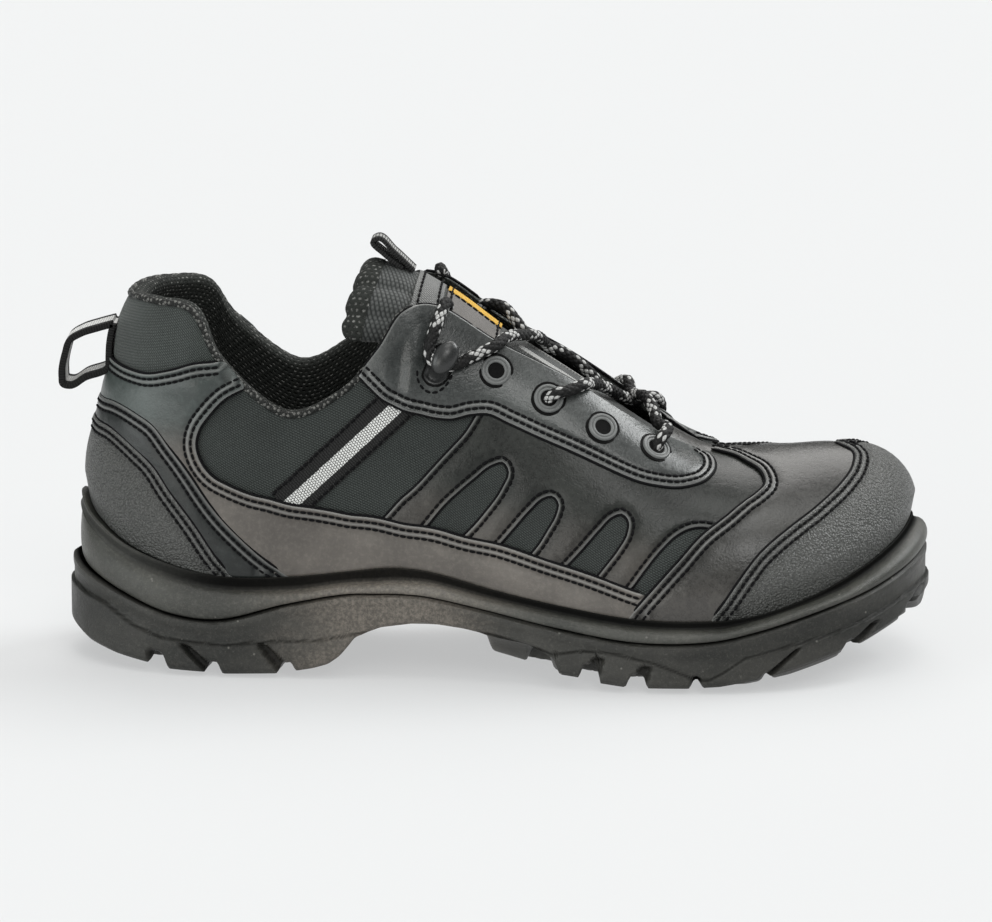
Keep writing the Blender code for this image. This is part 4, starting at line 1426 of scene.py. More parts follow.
AMBER_CLOTH = Weave(
    "amber_tape", "fabric", colour=(0.52, 0.27, 0.015), light=(0.95, 0.60, 0.06),
    rib=0.0005, float_length=0.0006,
)
PALE_TAPE = Weave(
    "pale_tape", "fabric", colour=(0.20, 0.20, 0.195), light=(0.60, 0.60, 0.585),
    rib=0.0006, float_length=0.0012,
)
GREY_TAPE = Weave(
    "grey_tape", "fabric", colour=(0.09, 0.092, 0.09), light=(0.24, 0.24, 0.235),
    rib=0.0007, float_length=0.0012,
)
LINING = KnitLining("knit_lining", "lining")
SOLE = MouldedSole("moulded_sole", "sole")
TREAD = MouldedSole(
    "tread_rubber", "outsole", colour=(0.015, 0.0155, 0.0135), rubbed=(0.064, 0.062, 0.055),
    arch_run=0.050, gloss=0.44, dust=0.55, shine=0.36,
)
FITTING = Lacquer("fitting_lacquer", "eyelet", colour=(0.125, 0.13, 0.128))
STUD_FINISH = Lacquer("stud_lacquer", "eyelet", colour=(0.022, 0.023, 0.023), gloss=0.30)
# Near black: the eyelets' washers, and painted shade in their holes and round the studs' plates.
BACKING_AND_SHADE = Lacquer("eyelet_backing", "eyelet", colour=(0.003, 0.003, 0.003), gloss=0.7, shine=0.1)
CORD = BraidedCord("lace_braid", "lace")
LOOP_TAPE = Webbing("loop_tape", "webbing")
HEEL_TAPE = Webbing(
    "heel_tape", "webbing", colour=(0.006, 0.006, 0.006), light=(0.66, 0.66, 0.65),
    stripe_from=-0.0042, stripe_to=0.0042, solid=0.6,
)
BRIGHT_TAPE = Webbing(
    "reflective_tape", "fabric", light=(0.80, 0.81, 0.79), stripe_from=-0.0023, stripe_to=0.0023, rib=0.0009
)
ROPE = BraidedCord(
    "collar_rope", "lining", colour=(0.014, 0.015, 0.014), light=(0.16, 0.16, 0.15),
    pitch=0.0030, strands=8, every=5.0,
)
THREAD = Thread("black_thread", "leather", colour=(0.002, 0.002, 0.0025))
FLOOR = PaleFloor("pale_floor", "floor")


def keep(obj: Piece, finish: Finish, *nodes: str) -> Piece:
    """Dresses a piece, hangs it on the shoe's body, hides the CAD nodes that it stands for and logs its
    triangles.

    Args:
        obj: The piece.
        finish: What it is made of.
        nodes: CAD nodes that it stands for.

    Returns:
        The piece.
    """
    finish.dress(obj)
    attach(obj, BODY)
    if nodes:
        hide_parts(*nodes)
    obj.data.calc_loop_triangles()
    log.info("%s: %d triangles", obj.name, len(obj.data.loop_triangles))
    return obj


@dataclass(frozen=True)
class Run:
    """A smooth stretch of a panel's outline on the outer side.

    Places are side-view x and z in millimetres, or row and share where on_rows is set.
    """

    places: tuple[Place, ...]
    seen: bool = False
    on_rows: bool = False
    bare: bool = False

    def rows(self) -> Array:
        """The places as rows and shares.

        Returns:
            Pairs of row and share.
        """
        if self.on_rows:
            return np.array(self.places, float)
        return np.array([SKIN.seek(place) for place in self.places])


def tucked(*places: Place, bare: bool = False) -> Run:
    """A stretch without stitches, by rows and shares: under another piece, or with its cut edge bare."""
    return Run(places, on_rows=True, bare=bare)


Edge = tuple[Array, bool, bool]
EDGE_RINGS = (0.2, 0.45, 0.8)
FAR = 99.0


class Reach(Enum):
    """How a panel lies on the shoe."""

    OUTER = "outer side only, and a mirrored copy on the inner side"
    HEEL = "one piece round the heel"
    TOE = "one piece round the toe"


@dataclass
class Sewing:
    """Collects the stitches of every seam as places and axes, and the dark cords of painted shadow along the
    cut edges.
    """

    pitch: float = 2.5
    length: float = 2.15
    radius: float = 0.5
    probe: float = 0.4
    edge_radius: float = 0.55
    edge_step: float = 1.3
    places: list[Array] = field(default_factory=list)
    frames: list[Array] = field(default_factory=list)
    edges: list[Piece] = field(default_factory=list)

    def run(self, line: Array, normals: Array) -> None:
        """Sets stitches along a line that lies on a panel.

        Args:
            line: Points in millimetres.
            normals: Outward normals at the points.
        """
        length = chord(line)
        count = int(length[-1] / self.pitch)
        if count < 1:
            return
        at = (np.arange(count) + 0.5) * length[-1] / count
        ahead, behind = (along_line(at + way * self.probe, length, line) for way in (1, -1))
        along = unit(ahead - behind)
        across = unit(np.cross(unit(along_line(at, length, normals)), along))
        self.places.append(to_frame(along_line(at, length, line)))
        self.frames.append(np.stack([along, across, np.cross(along, across)], axis=2))

    def build(self) -> None:
        """Makes all the stitches as one piece, and all the cords of painted shadow as another."""
        Bench.clear()
        bpy.ops.mesh.primitive_uv_sphere_add(segments=6, ring_count=6, radius=1.0)
        stitch = bpy.context.object
        shape = Bench.coords(stitch)[:, [2, 0, 1]]
        shape[:, 0] = np.sign(shape[:, 0]) * np.abs(shape[:, 0]) ** 0.6
        Bench.place(stitch, shape * np.array([self.length / 2, self.radius, self.radius]) * MM)
        obj = Bench.copies("stitches", stitch, np.concatenate(self.places), np.concatenate(self.frames))
        # The cords are painted shadow under the cut edges, in the thread's black finish.
        keep(Bench.join("edge_piping", self.edges), THREAD)
        keep(Bench.smooth(Bench.weld(obj, 1e-8), 70), THREAD)

    def pipe(self, line: Array) -> None:
        """Lays a thin black cord along a panel's cut edge, in millimetres, as painted shadow under the edge.

        Args:
            line: Points of the edge.
        """
        cord = Bench.tube("edge_cord", to_frame(evenly(line, self.edge_step)), self.edge_radius * MM, 6)
        Bench.mark(cord, "edge", np.zeros(len(cord.data.vertices)))
        self.edges.append(cord)


SEWING = Sewing()


@dataclass
class Panel:
    """A sewn panel: an outline on the skin, cut, sewn down in rows and lifted over what lies under it."""

    name: str
    outline: tuple[Run, ...]
    lift: float
    finish: Finish
    reach: Reach = Reach.OUTER
    stitches: tuple[float, ...] = (1.8, 4.1)
    nodes: tuple[str, ...] = ()
    thickness: float = 1.3
    cell: float = 3.0
    grain_step: float = 1.5
    groove_depth: float = 0.42
    groove_width: float = 0.65
    round_edge: float = 0.75
    rim_share: float = 0.3
    swell: float = 0.25
    pipe_out: float = 0.25
    pipe_down: float = 0.95
    stitch_up: float = 0.22

    def build(self) -> None:
        """Makes the panel, and its copy on the inner side where it has one."""
        if self.reach is Reach.OUTER:
            for side in Side:
                self._make(f"{self.name}_{side.label}", self._sampled(side))
        else:
            self._make(self.name, self._sampled(Side.LATERAL))

    def _sampled(self, side: Side) -> list[Edge]:
        """The outline as runs of section number and share, round the whole panel.

        Args:
            side: Side of the shoe for the given runs.

        Returns:
            The runs, followed by their mirrored copies where the panel goes round heel or toe.
        """
        runs = []
        for run in self.outline:
            rows = run.rows()
            knots = chord(SKIN.at(-rows[:, 0], rows[:, 1]))
            fine = through(rows, np.linspace(0, knots[-1], 30 * len(rows)), knots)
            fine[:, 1] = np.clip(fine[:, 1], 0, 1)
            length = chord(SKIN.at(-fine[:, 0], fine[:, 1]))
            count = max(2, int(round(length[-1] / self.grain_step)) + 1)
            line = along_line(np.linspace(0, length[-1], count), length, fine)
            runs.append((line * np.array([side.value, 1]), run.seen, run.bare))
        if self.reach is Reach.OUTER:
            return runs
        shift = 0.0 if self.reach is Reach.HEEL else -float(TURN)
        turned, moved = np.array([-1, 1]), np.array([shift, 0.0])
        return runs + [(line[::-1] * turned + moved, *how) for line, *how in runs[::-1]]

    def _make(self, name: str, runs: list[Edge]) -> None:
        """Cuts, sews and lifts one piece.

        Args:
            name: Name of the new object.
            runs: The outline.
        """
        flat = SKIN.flatten(*np.vstack([line[:-1] for line, *_ in runs]).T)
        obj = self._cut(name, runs, flat)
        places = Bench.coords(obj)[:, :2] / MM
        s, v = SKIN.unflatten(places)
        v = np.clip(v, 0, 1)
        base, normals = SKIN.at(s, v), SKIN.normal(s, v)
        every = [SKIN.at(*line.T) for line, *_ in runs]
        seen = [points for points, (_, shown, _) in zip(every, runs) if shown]
        bare = [points for points, (_, _, cut) in zip(every, runs) if cut]
        near = self._distance(base, seen) if seen else np.full(len(base), FAR)
        open_edge = self._distance(base, seen + bare)
        height = self._height(near, self._distance(base, every), open_edge) * self._fade(s, v)
        Bench.place(obj, to_frame(base + height[:, None] * normals))
        Bench.unwrap(obj, places * MM)
        self._shade(obj, near, open_edge)
        Bench.face_along(obj, normals)
        self._sew(runs, flat)
        Bench.thicken(Bench.merge(obj, 1e-5), self.thickness * MM)
        keep(Bench.smooth(obj, 50), self.finish, *self.nodes)

    def _shade(self, obj: Piece, near: Array, open_edge: Array) -> None:
        """Marks painted highlights on the cut edges, which are also a little lighter of their own, and on the
        ridge between the rows, and painted shade in the rows of stitches.

        Args:
            obj: The piece.
            near: Distance from the sewn edges.
            open_edge: Distance from all edges that show.
        """
        seam, edge = np.zeros(len(near)), bell(open_edge, 0.55)
        for row in self.stitches:
            seam = np.maximum(seam, bell(near - row, 0.5))
        if len(self.stitches) > 1:
            edge = np.maximum(edge, 0.7 * bell(near - self._ridge(), 0.5))
        Bench.mark(obj, "edge", edge)
        # The seam mark carries the painted shade of the rows of stitches.
        Bench.mark(obj, "seam", seam)

    def _ridge(self) -> float:
        """Distance of the middle between the rows of stitches from the edge."""
        return sum(self.stitches) / max(len(self.stitches), 1)

    def _rings(self) -> list[float]:
        """Distances from the outline at which rings of points are set.

        Returns:
            Distances in millimetres.
        """
        rings = list(EDGE_RINGS)
        for row in self.stitches:
            rings += [row - self.groove_width, row - 0.3, row, row + 0.3, row + self.groove_width]
        rings.append(self._ridge())
        return sorted({round(r, 2) for r in rings if r > 0.15})

    def _cut(self, name: str, runs: list[Edge], flat: Array) -> Piece:
        """Cuts the flat pattern as triangles.

        Args:
            name: Name of the new object.
            runs: The outline.
            flat: The outline's flat places in millimetres.

        Returns:
            The flat mesh, with rings of points along the edges that show and a net inside.
        """
        every = [SKIN.at(*line.T) for line, *_ in runs]
        inner = []
        for line, shown, bare in runs:
            for ring in self._rings() if shown else EDGE_RINGS if bare else ():
                points = self._offset(line, flat, ring)
                spaced = self._distance(SKIN.at(*SKIN.unflatten(points)), every)
                inner.append(points[spaced > ring - 0.06])
        net = self._net(flat)
        last = max(self._rings()) if inner else 0.0
        spaced = self._distance(SKIN.at(*SKIN.unflatten(net)), every)
        inner.append(net[spaced > last + 0.45 * self.cell])
        inner = np.vstack(inner)
        inner = inner[self._inside(inner, flat)]
        points = [Vector(place) for place in np.vstack([flat, inner])]
        loop = list(range(len(flat)))
        edges = list(zip(loop, loop[1:] + loop[:1]))
        found = geometry.delaunay_2d_cdt(points, edges, [loop], 1, 1e-4)
        return Bench.mesh(name, [(p.x * MM, p.y * MM, 0.0) for p in found[0]], found[2])

    def _fade(self, s: Array, v: Array) -> Array:
        """How far a panel stands off the skin near the sole's rim."""
        return self.rim_share + (1 - self.rim_share) * smoothstep(v * SKIN.length(s), 0.5, 6.0)

    def _net(self, flat: Array) -> Array:
        """A net of points over the pattern, every other row set off by half a step.

        Args:
            flat: The outline's flat places.

        Returns:
            Flat places inside the outline.
        """
        low, high = flat.min(axis=0), flat.max(axis=0)
        rows = np.arange(low[1], high[1], self.cell * 0.87)
        columns = np.arange(low[0], high[0], self.cell)
        x, y = np.meshgrid(columns, rows)
        x = x + (np.arange(len(rows)) % 2)[:, None] * self.cell / 2
        net = np.column_stack([x.ravel(), y.ravel()])
        return net[self._inside(net, flat)]

    @staticmethod
    def _inside(points: Array, loop: Array) -> Array:
        """Which points lie inside a closed outline.

        Args:
            points: Flat places.
            loop: The outline.

        Returns:
            True for each place inside.
        """
        inside = np.zeros(len(points), bool)
        for a, b in zip(loop, np.roll(loop, -1, axis=0)):
            if a[1] != b[1]:
                crosses = (a[1] > points[:, 1]) != (b[1] > points[:, 1])
                at = a[0] + (points[:, 1] - a[1]) * (b[0] - a[0]) / (b[1] - a[1])
                inside ^= crosses & (points[:, 0] < at)
        return inside

    @staticmethod
    def _offset(line: Array, flat: Array, distance: float) -> Array:
        """Moves a run of the outline inwards by a true distance.

        Args:
            line: The run's section numbers and shares.
            flat: The whole outline's flat places.
            distance: Distance in millimetres; negative for outwards.

        Returns:
            Flat places of the moved run.
        """
        x, y = flat[:, 0], flat[:, 1]
        turn = np.sign(np.sum(x * np.roll(y, -1) - np.roll(x, -1) * y))
        pattern = SKIN.flatten(*line.T)
        along = unit(np.gradient(pattern, axis=0))
        inward = np.stack([-along[:, 1], along[:, 0]], axis=1) * turn
        here = SKIN.at(*SKIN.unflatten(pattern))
        probe = SKIN.at(*SKIN.unflatten(pattern + inward))
        reach = distance / np.maximum(np.linalg.norm(probe - here, axis=1), 0.3)
        for _ in range(3):
            moved = SKIN.at(*SKIN.unflatten(pattern + inward * reach[:, None]))
            found = Panel._distance(moved, [here])
            reach = reach * np.clip(abs(distance) / np.maximum(found, 0.05), 0.7, 1.5)
        return pattern + inward * reach[:, None]

    @staticmethod
    def _distance(points: Array, lines: Sequence[Array]) -> Array:
        """Distance of points from the nearest of some lines, in millimetres.

        Args:
            points: Where to measure.
            lines: Lines of points.

        Returns:
            One distance for each point.
        """
        best = np.full(len(points), np.inf)
        for line in lines:
            for a, b in zip(line[:-1], line[1:]):
                ab = b - a
                t = np.clip(((points - a) @ ab) / max(ab @ ab, 1e-12), 0, 1)
                gap = points - a - t[:, None] * ab
                best = np.minimum(best, np.einsum("ij,ij->i", gap, gap))
        return np.sqrt(best)

    def _height(self, near: Array, edge: Array, open_edge: Array) -> Array:
        """Height over the skin: a rounded edge, sunk sewing rows and a soft swell between them.

        Args:
            near: Distance from the sewn edges.
            edge: Distance from the whole outline.
            open_edge: Distance from all edges that show.

        Returns:
            Heights in millimetres.
        """
        inside = np.clip(1 - open_edge / self.round_edge, 0, 1)
        height = self.lift - self.round_edge * (1 - np.sqrt(1 - inside**2))
        for row in self.stitches:
            height = height - self.groove_depth * bell(near - row, self.groove_width)
        last = max(self.stitches, default=0.0)
        return height + self.swell * smoothstep(edge, last + 0.5, last + 8.0)

    def _sew(self, runs: list[Edge], flat: Array) -> None:
        """Lays a cord of painted shadow under each edge that shows, and sets rows of stitches along the sewn
        ones.

        Args:
            runs: The outline.
            flat: The outline's flat places.
        """
        for line, shown, bare in runs:
            if shown or bare:
                s, v = SKIN.unflatten(self._offset(line, flat, -self.pipe_out))
                SEWING.pipe(SKIN.at(s, np.clip(v, 0, 1), self.lift * self._fade(s, v) - self.pipe_down))
            for row in self.stitches if shown else ():
                s, v = SKIN.unflatten(self._offset(line, flat, row))
                v = np.clip(v, 0, 1)
                height = (self.lift - self.groove_depth) * self._fade(s, v) + self.stitch_up
                SEWING.run(SKIN.at(s, v, height), SKIN.normal(s, v))


HEEL_COUNTER_EDGE = (
    (0.0, 0.36), (0.7, 0.385), (1.3, 0.41), (1.93, 0.40), (2.45, 0.36), (2.9, 0.28), (3.5, 0.185),
    (4.17, 0.0),
)
BACKSTAY_EDGE = (
    (0.0, 0.46), (0.7, 0.49), (1.3, 0.52), (2.0, 0.525), (2.35, 0.51), (2.85, 0.44), (3.48, 0.36),
    (4.17, 0.23), (5.05, 0.0),
)
COLLAR_FOOT = ((0.0, 0.66), (0.8, 0.67), (1.6, 0.68), (2.45, 0.71), (3.1, 0.785), (3.75, 0.92), (3.93, 0.966))
OVAL_EDGE = (
    (63.6, 101.9), (61.0, 100.5), (57.4, 98.3), (52.1, 93.0), (48.1, 86.9), (46.9, 82.4), (48.1, 77.0),
    (52.2, 71.4), (58.2, 67.9), (66.0, 65.0), (73.5, 63.1), (82.7, 60.9), (103.7, 57.6), (118.1, 55.2),
    (135.8, 52.3), (153.7, 48.6), (171.6, 43.6), (189.7, 38.4), (203.0, 34.0),
)
QUARTER_REAR = ((147.5, 97.0), (139.0, 84.2), (126.0, 70.4), (112.8, 56.9), (107.5, 51.5))
WINDOWS = (
    ((124.0, 49.5), (127.5, 53.9), (136.3, 64.4), (144.2, 71.2), (150.6, 76.0), (154.4, 77.0), (156.4, 73.9),
     (154.2, 68.0), (148.6, 60.0), (144.7, 55.2), (139.9, 50.2), (136.6, 46.4)),
    ((148.6, 43.4), (152.6, 47.9), (158.3, 54.5), (164.2, 61.3), (168.6, 65.2), (171.8, 66.0), (174.0, 63.6),
     (173.3, 59.6), (170.4, 54.2), (167.3, 49.2), (164.0, 44.8), (160.6, 40.6)),
    ((172.4, 37.0), (176.0, 41.2), (182.4, 48.2), (188.5, 55.2), (192.9, 59.5), (196.4, 60.4), (198.6, 58.2),
     (198.2, 54.0), (195.1, 48.4), (191.1, 43.0), (187.4, 38.6), (184.0, 34.6)),
    ((196.0, 30.8), (199.5, 35.4), (205.2, 42.9), (210.6, 49.3), (215.2, 53.3), (219.5, 55.4), (224.1, 56.0),
     (229.0, 55.0), (234.5, 53.0)),
)
QUARTER_HIDDEN = (
    ((246.0, 59.0), (253.0, 63.0), (255.0, 66.5)),
    ((252.0, 70.6), (246.0, 72.4)),
    ((238.0, 73.6), (230.5, 74.2)),
    ((222.0, 75.6), (214.0, 74.6), (204.0, 76.2), (189.0, 82.5), (167.5, 91.8)),
    ((152.0, 98.6), (147.5, 97.0)),
)
VAMP_SEAM = (
    (199.0, 25.1), (205.8, 33.4), (215.6, 44.0), (225.1, 53.4), (234.8, 59.8), (242.0, 63.8),
    (245.6, 66.6), (244.6, 69.4), (238.5, 71.6), (232.0, 73.0), (226.0, 74.6),
)
TOE_CAP_EDGE = (
    (16.95, 1.0), (16.93, 0.90), (16.85, 0.78), (16.45, 0.64), (15.85, 0.51), (15.25, 0.42), (14.7, 0.355),
    (14.1, 0.27), (13.65, 0.175), (13.05, 0.0),
)
EYESTAY_FOOT = (
    (6.45, 0.985), (6.75, 0.875), (7.25, 0.735), (7.8, 0.64), (8.65, 0.585), (9.22, 0.595), (9.6, 0.655),
    (9.85, 0.69), (10.2, 0.69), (10.65, 0.68), (11.48, 0.67), (12.2, 0.66), (12.75, 0.665), (13.2, 0.71),
    (13.52, 0.80), (13.5, 0.90), (13.15, 0.985),
)


def quarter_outline() -> tuple[Run, ...]:
    """The quarter's outline: rear edge, a foot between each pair of windows, then under vamp and facing.

    Returns:
        The runs in order.
    """
    runs = [Run(QUARTER_REAR, True)]
    last = QUARTER_REAR[-1]
    for window in WINDOWS:
        runs += [Run((last, window[0])), Run(window, True)]
        last = window[-1]
    for stretch in QUARTER_HIDDEN:
        runs.append(Run((last, *stretch)))
        last = stretch[-1]
    return tuple(runs)


PANELS = (
    Panel(
        "quarter", quarter_outline(), 0.95, QUARTER_LEATHER, stitches=(1.7,), thickness=1.0, swell=0.0,
        groove_depth=0.4,
    ),
    Panel(
        "side_panel",
        (
            Run(COLLAR_FOOT, seen=True, on_rows=True), tucked((3.93, 0.966), (4.02, 0.99), (4.41, 0.99)),
            tucked((4.41, 0.99), (4.4, 0.96)), Run(OVAL_EDGE, seen=True), Run(((203.0, 34.0), (209.0, 31.4))),
            Run(((209.0, 31.4), (212.0, 25.0))), tucked((12.4, 0.0), (6.0, 0.0), (0.0, 0.0)),
        ),
        1.85, BROWN_SHEEN_LEATHER, Reach.HEEL,
    ),
    Panel(
        "backstay", (Run(BACKSTAY_EDGE, seen=True, on_rows=True), tucked((5.05, 0.0), (0.0, 0.0))),
        2.6, HEEL_LEATHER, Reach.HEEL,
    ),
    Panel(
        "heel_counter_skin", (Run(HEEL_COUNTER_EDGE, seen=True, on_rows=True), tucked((4.17, 0.0), (0.0, 0.0))),
        3.3, PEBBLED, Reach.HEEL, nodes=("heel_counter",), swell=0.5,
    ),
    Panel(
        "eyestay",
        (
            Run(EYESTAY_FOOT, seen=True, on_rows=True),
            tucked((13.15, 0.985), (13.0, 1.0), (12.4, 1.0), bare=True),
            tucked((12.4, 1.0), (9.6, 1.0), bare=True),
            tucked((9.6, 1.0), (9.0, 1.0), (8.4, 1.0), bare=True),
            tucked((8.4, 1.0), (6.6, 1.0), bare=True),
            tucked((6.6, 1.0), (6.45, 0.985), bare=True),
        ),
        2.0, LEATHER, thickness=2.2, cell=1.8,
    ),
    Panel(
        "vamp",
        (
            tucked((18.0, 1.0), (14.05, 1.0)), tucked((14.05, 1.0), (14.0, 0.975)),
            Run(VAMP_SEAM[::-1], seen=True), tucked((11.88, 0.0), (18.0, 0.0)),
        ),
        2.6, VAMP_LEATHER, Reach.TOE, swell=0.1,
    ),
    Panel(
        "toe_cap",
        (
            tucked((18.0, 1.0), (16.95, 1.0)), Run(TOE_CAP_EDGE, seen=True, on_rows=True),
            tucked((13.1, 0.0), (18.0, 0.0)),
        ),
        3.5, PEBBLED, Reach.TOE, nodes=("toe_guard",), swell=0.3,
    ),
)


TURNS = np.linspace(-TIP, TIP, 361)
ROPE_LUMP = 0.0038


@dataclass
class UpperShell:
    """The cloth shell under the panels, and the knit lining that rolls over the collar."""

    shell: float = 1.0
    tuck: float = 2.0
    lining: float = 0.8
    seam: float = 0.5
    rope: float = 1.15
    ring: int = 12
    rope_end: float = 8.35
    lining_end: float = 13.2

    def build(self) -> None:
        """Makes shell and lining."""
        self._shell()
        self._lining()

    @staticmethod
    def _collar(s: Array) -> Array:
        """1 along the collar, falling to 0 where the facings start."""
        return 1 - smoothstep(np.abs(s), 8.2, 8.8)

    def _roll(self, s: Array) -> tuple[Array, Array]:
        """Radius of the collar's roll and the share at which it starts."""
        radius = (SKIN.padding(s, np.ones_like(s)) - BASE_INSET) / 2
        return radius, 1 - radius / SKIN.length(s)

    def _skirt(self, s: Array, deep: Array, offset: float) -> Array:
        """Points under the rim, behind the sole's lip.

        Args:
            s: Section numbers.
            deep: How far down, from 0 to 1.
            offset: Distance out from the rim.

        Returns:
            Points in millimetres.
        """
        rim, out = SKIN.rim(s), SKIN.outward(s)
        points = np.empty((len(s), 3))
        points[:, :2] = rim[:, :2] + (offset - deep * self.tuck)[:, None] * out
        points[:, 2] = rim[:, 2] + deep * (rim[:, 3] + 0.5 - rim[:, 2])
        return points

    def _over(self, s: Array, angle: Array, extra: float) -> Array:
        """Points on the collar's roll, at an angle up from its outer face.

        Args:
            s: Section numbers.
            angle: Angles in radians.
            extra: Distance off the roll.

        Returns:
            Points in millimetres.
        """
        radius, start = self._roll(s)
        up = unit(SKIN.at(s, start) - SKIN.at(s, start - 2 / SKIN.length(s)))
        out = SKIN.normal(s, start)
        ray = np.cos(angle)[:, None] * out + np.sin(angle)[:, None] * up
        return SKIN.at(s, start) - radius[:, None] * out + (radius + extra)[:, None] * ray

    def _shell(self) -> None:
        """The woven shell from under the rim over the collar's roll, or to the throat."""
        s = TURNS
        collar = self._collar(s)
        top = np.where(collar > 0, self._roll(s)[1], 1.0)
        lines, places = [], []
        for deep in (1.0, 0.5):
            lines.append(self._skirt(s, np.full_like(s, deep), -BASE_INSET))
            places.append(np.stack([SKIN.flatten(s, 0 * s)[:, 0], np.full_like(s, -deep * 8)], axis=1))
        for share in np.linspace(0, 1, 60):
            lines.append(SKIN.at(s, share * top))
            places.append(SKIN.flatten(s, share * top))
        for share in np.linspace(0.2, 1, 6):
            rolled = self._over(s, share * self.seam * collar, 0.0)
            lines.append(np.where(collar[:, None] > 0, rolled, lines[-1]))
            places.append(places[-1] + np.array([0.0, 0.7]))
        points, places = np.array(lines), np.array(places)
        places[:, 0, 0], places[:, -1, 0] = SKIN.run[0], SKIN.run[-1]
        obj = Bench.sheet("upper_cloth_shell", to_frame(points), places * MM)
        Bench.face_along(obj, np.tile(SKIN.normal(s, 0 * s + 0.5), (len(lines), 1)))
        Bench.thicken(Bench.merge(obj), self.shell * MM)
        keep(Bench.smooth(obj, 50), CLOTH, "upper")
        around = np.linspace(-self.rope_end, self.rope_end, 700)
        rope = to_frame(evenly(self._over(around, np.full_like(around, self.seam), 0.25), 0.6))
        keep(Bench.tube("collar_rope", rope, self.rope * MM, 12, self._twist), ROPE)

    @staticmethod
    def _twist(along: Array, angle: Array) -> Array:
        """Relief of the folded edge's short diagonal lumps."""
        return 0.92 + 0.13 * np.abs(np.sin(np.pi * along / ROPE_LUMP + angle))

    def _lining(self) -> None:
        """The knit lining: from the rope over the roll, then down the inside to the footbed."""
        s = np.linspace(-self.lining_end, self.lining_end, 331)
        start = self._roll(s)[1]
        first = self.seam * self._collar(s)
        lines = [self._over(s, first, -1.2)]
        for share in np.linspace(0.0, 1.0, self.ring):
            lines.append(self._over(s, first + share * (math.pi - first), 0.1))
        for share in np.linspace(0.97, 0.0, 26):
            v = start * share
            lines.append(SKIN.at(s, v, -(SKIN.padding(s, v) - BASE_INSET)))
        for deep in (0.5, 1.0):
            lines.append(self._skirt(s, np.full_like(s, deep), -WALL))
        points = np.array(lines)
        drop = np.zeros(points.shape[:2])
        drop[1:] = np.cumsum(np.linalg.norm(np.diff(points, axis=0), axis=2), axis=0)
        run = np.broadcast_to(SKIN.flatten(s, 0 * s)[:, 0], drop.shape)
        obj = Bench.sheet("collar_lining", to_frame(points), np.stack([run, -drop], axis=-1) * MM)
        Bench.face_along(obj, np.tile(-SKIN.normal(s, 0 * s + 0.5), (len(lines), 1)))
        Bench.smooth(Bench.thicken(obj, self.lining * MM), 60)
        keep(obj, LINING)


@dataclass(frozen=True)
class TongueRow:
    """One cross-section of the tongue, in millimetres."""

    x: float
    crown: float
    half_width: float
    drop: float
    thickness: float
    wing: float


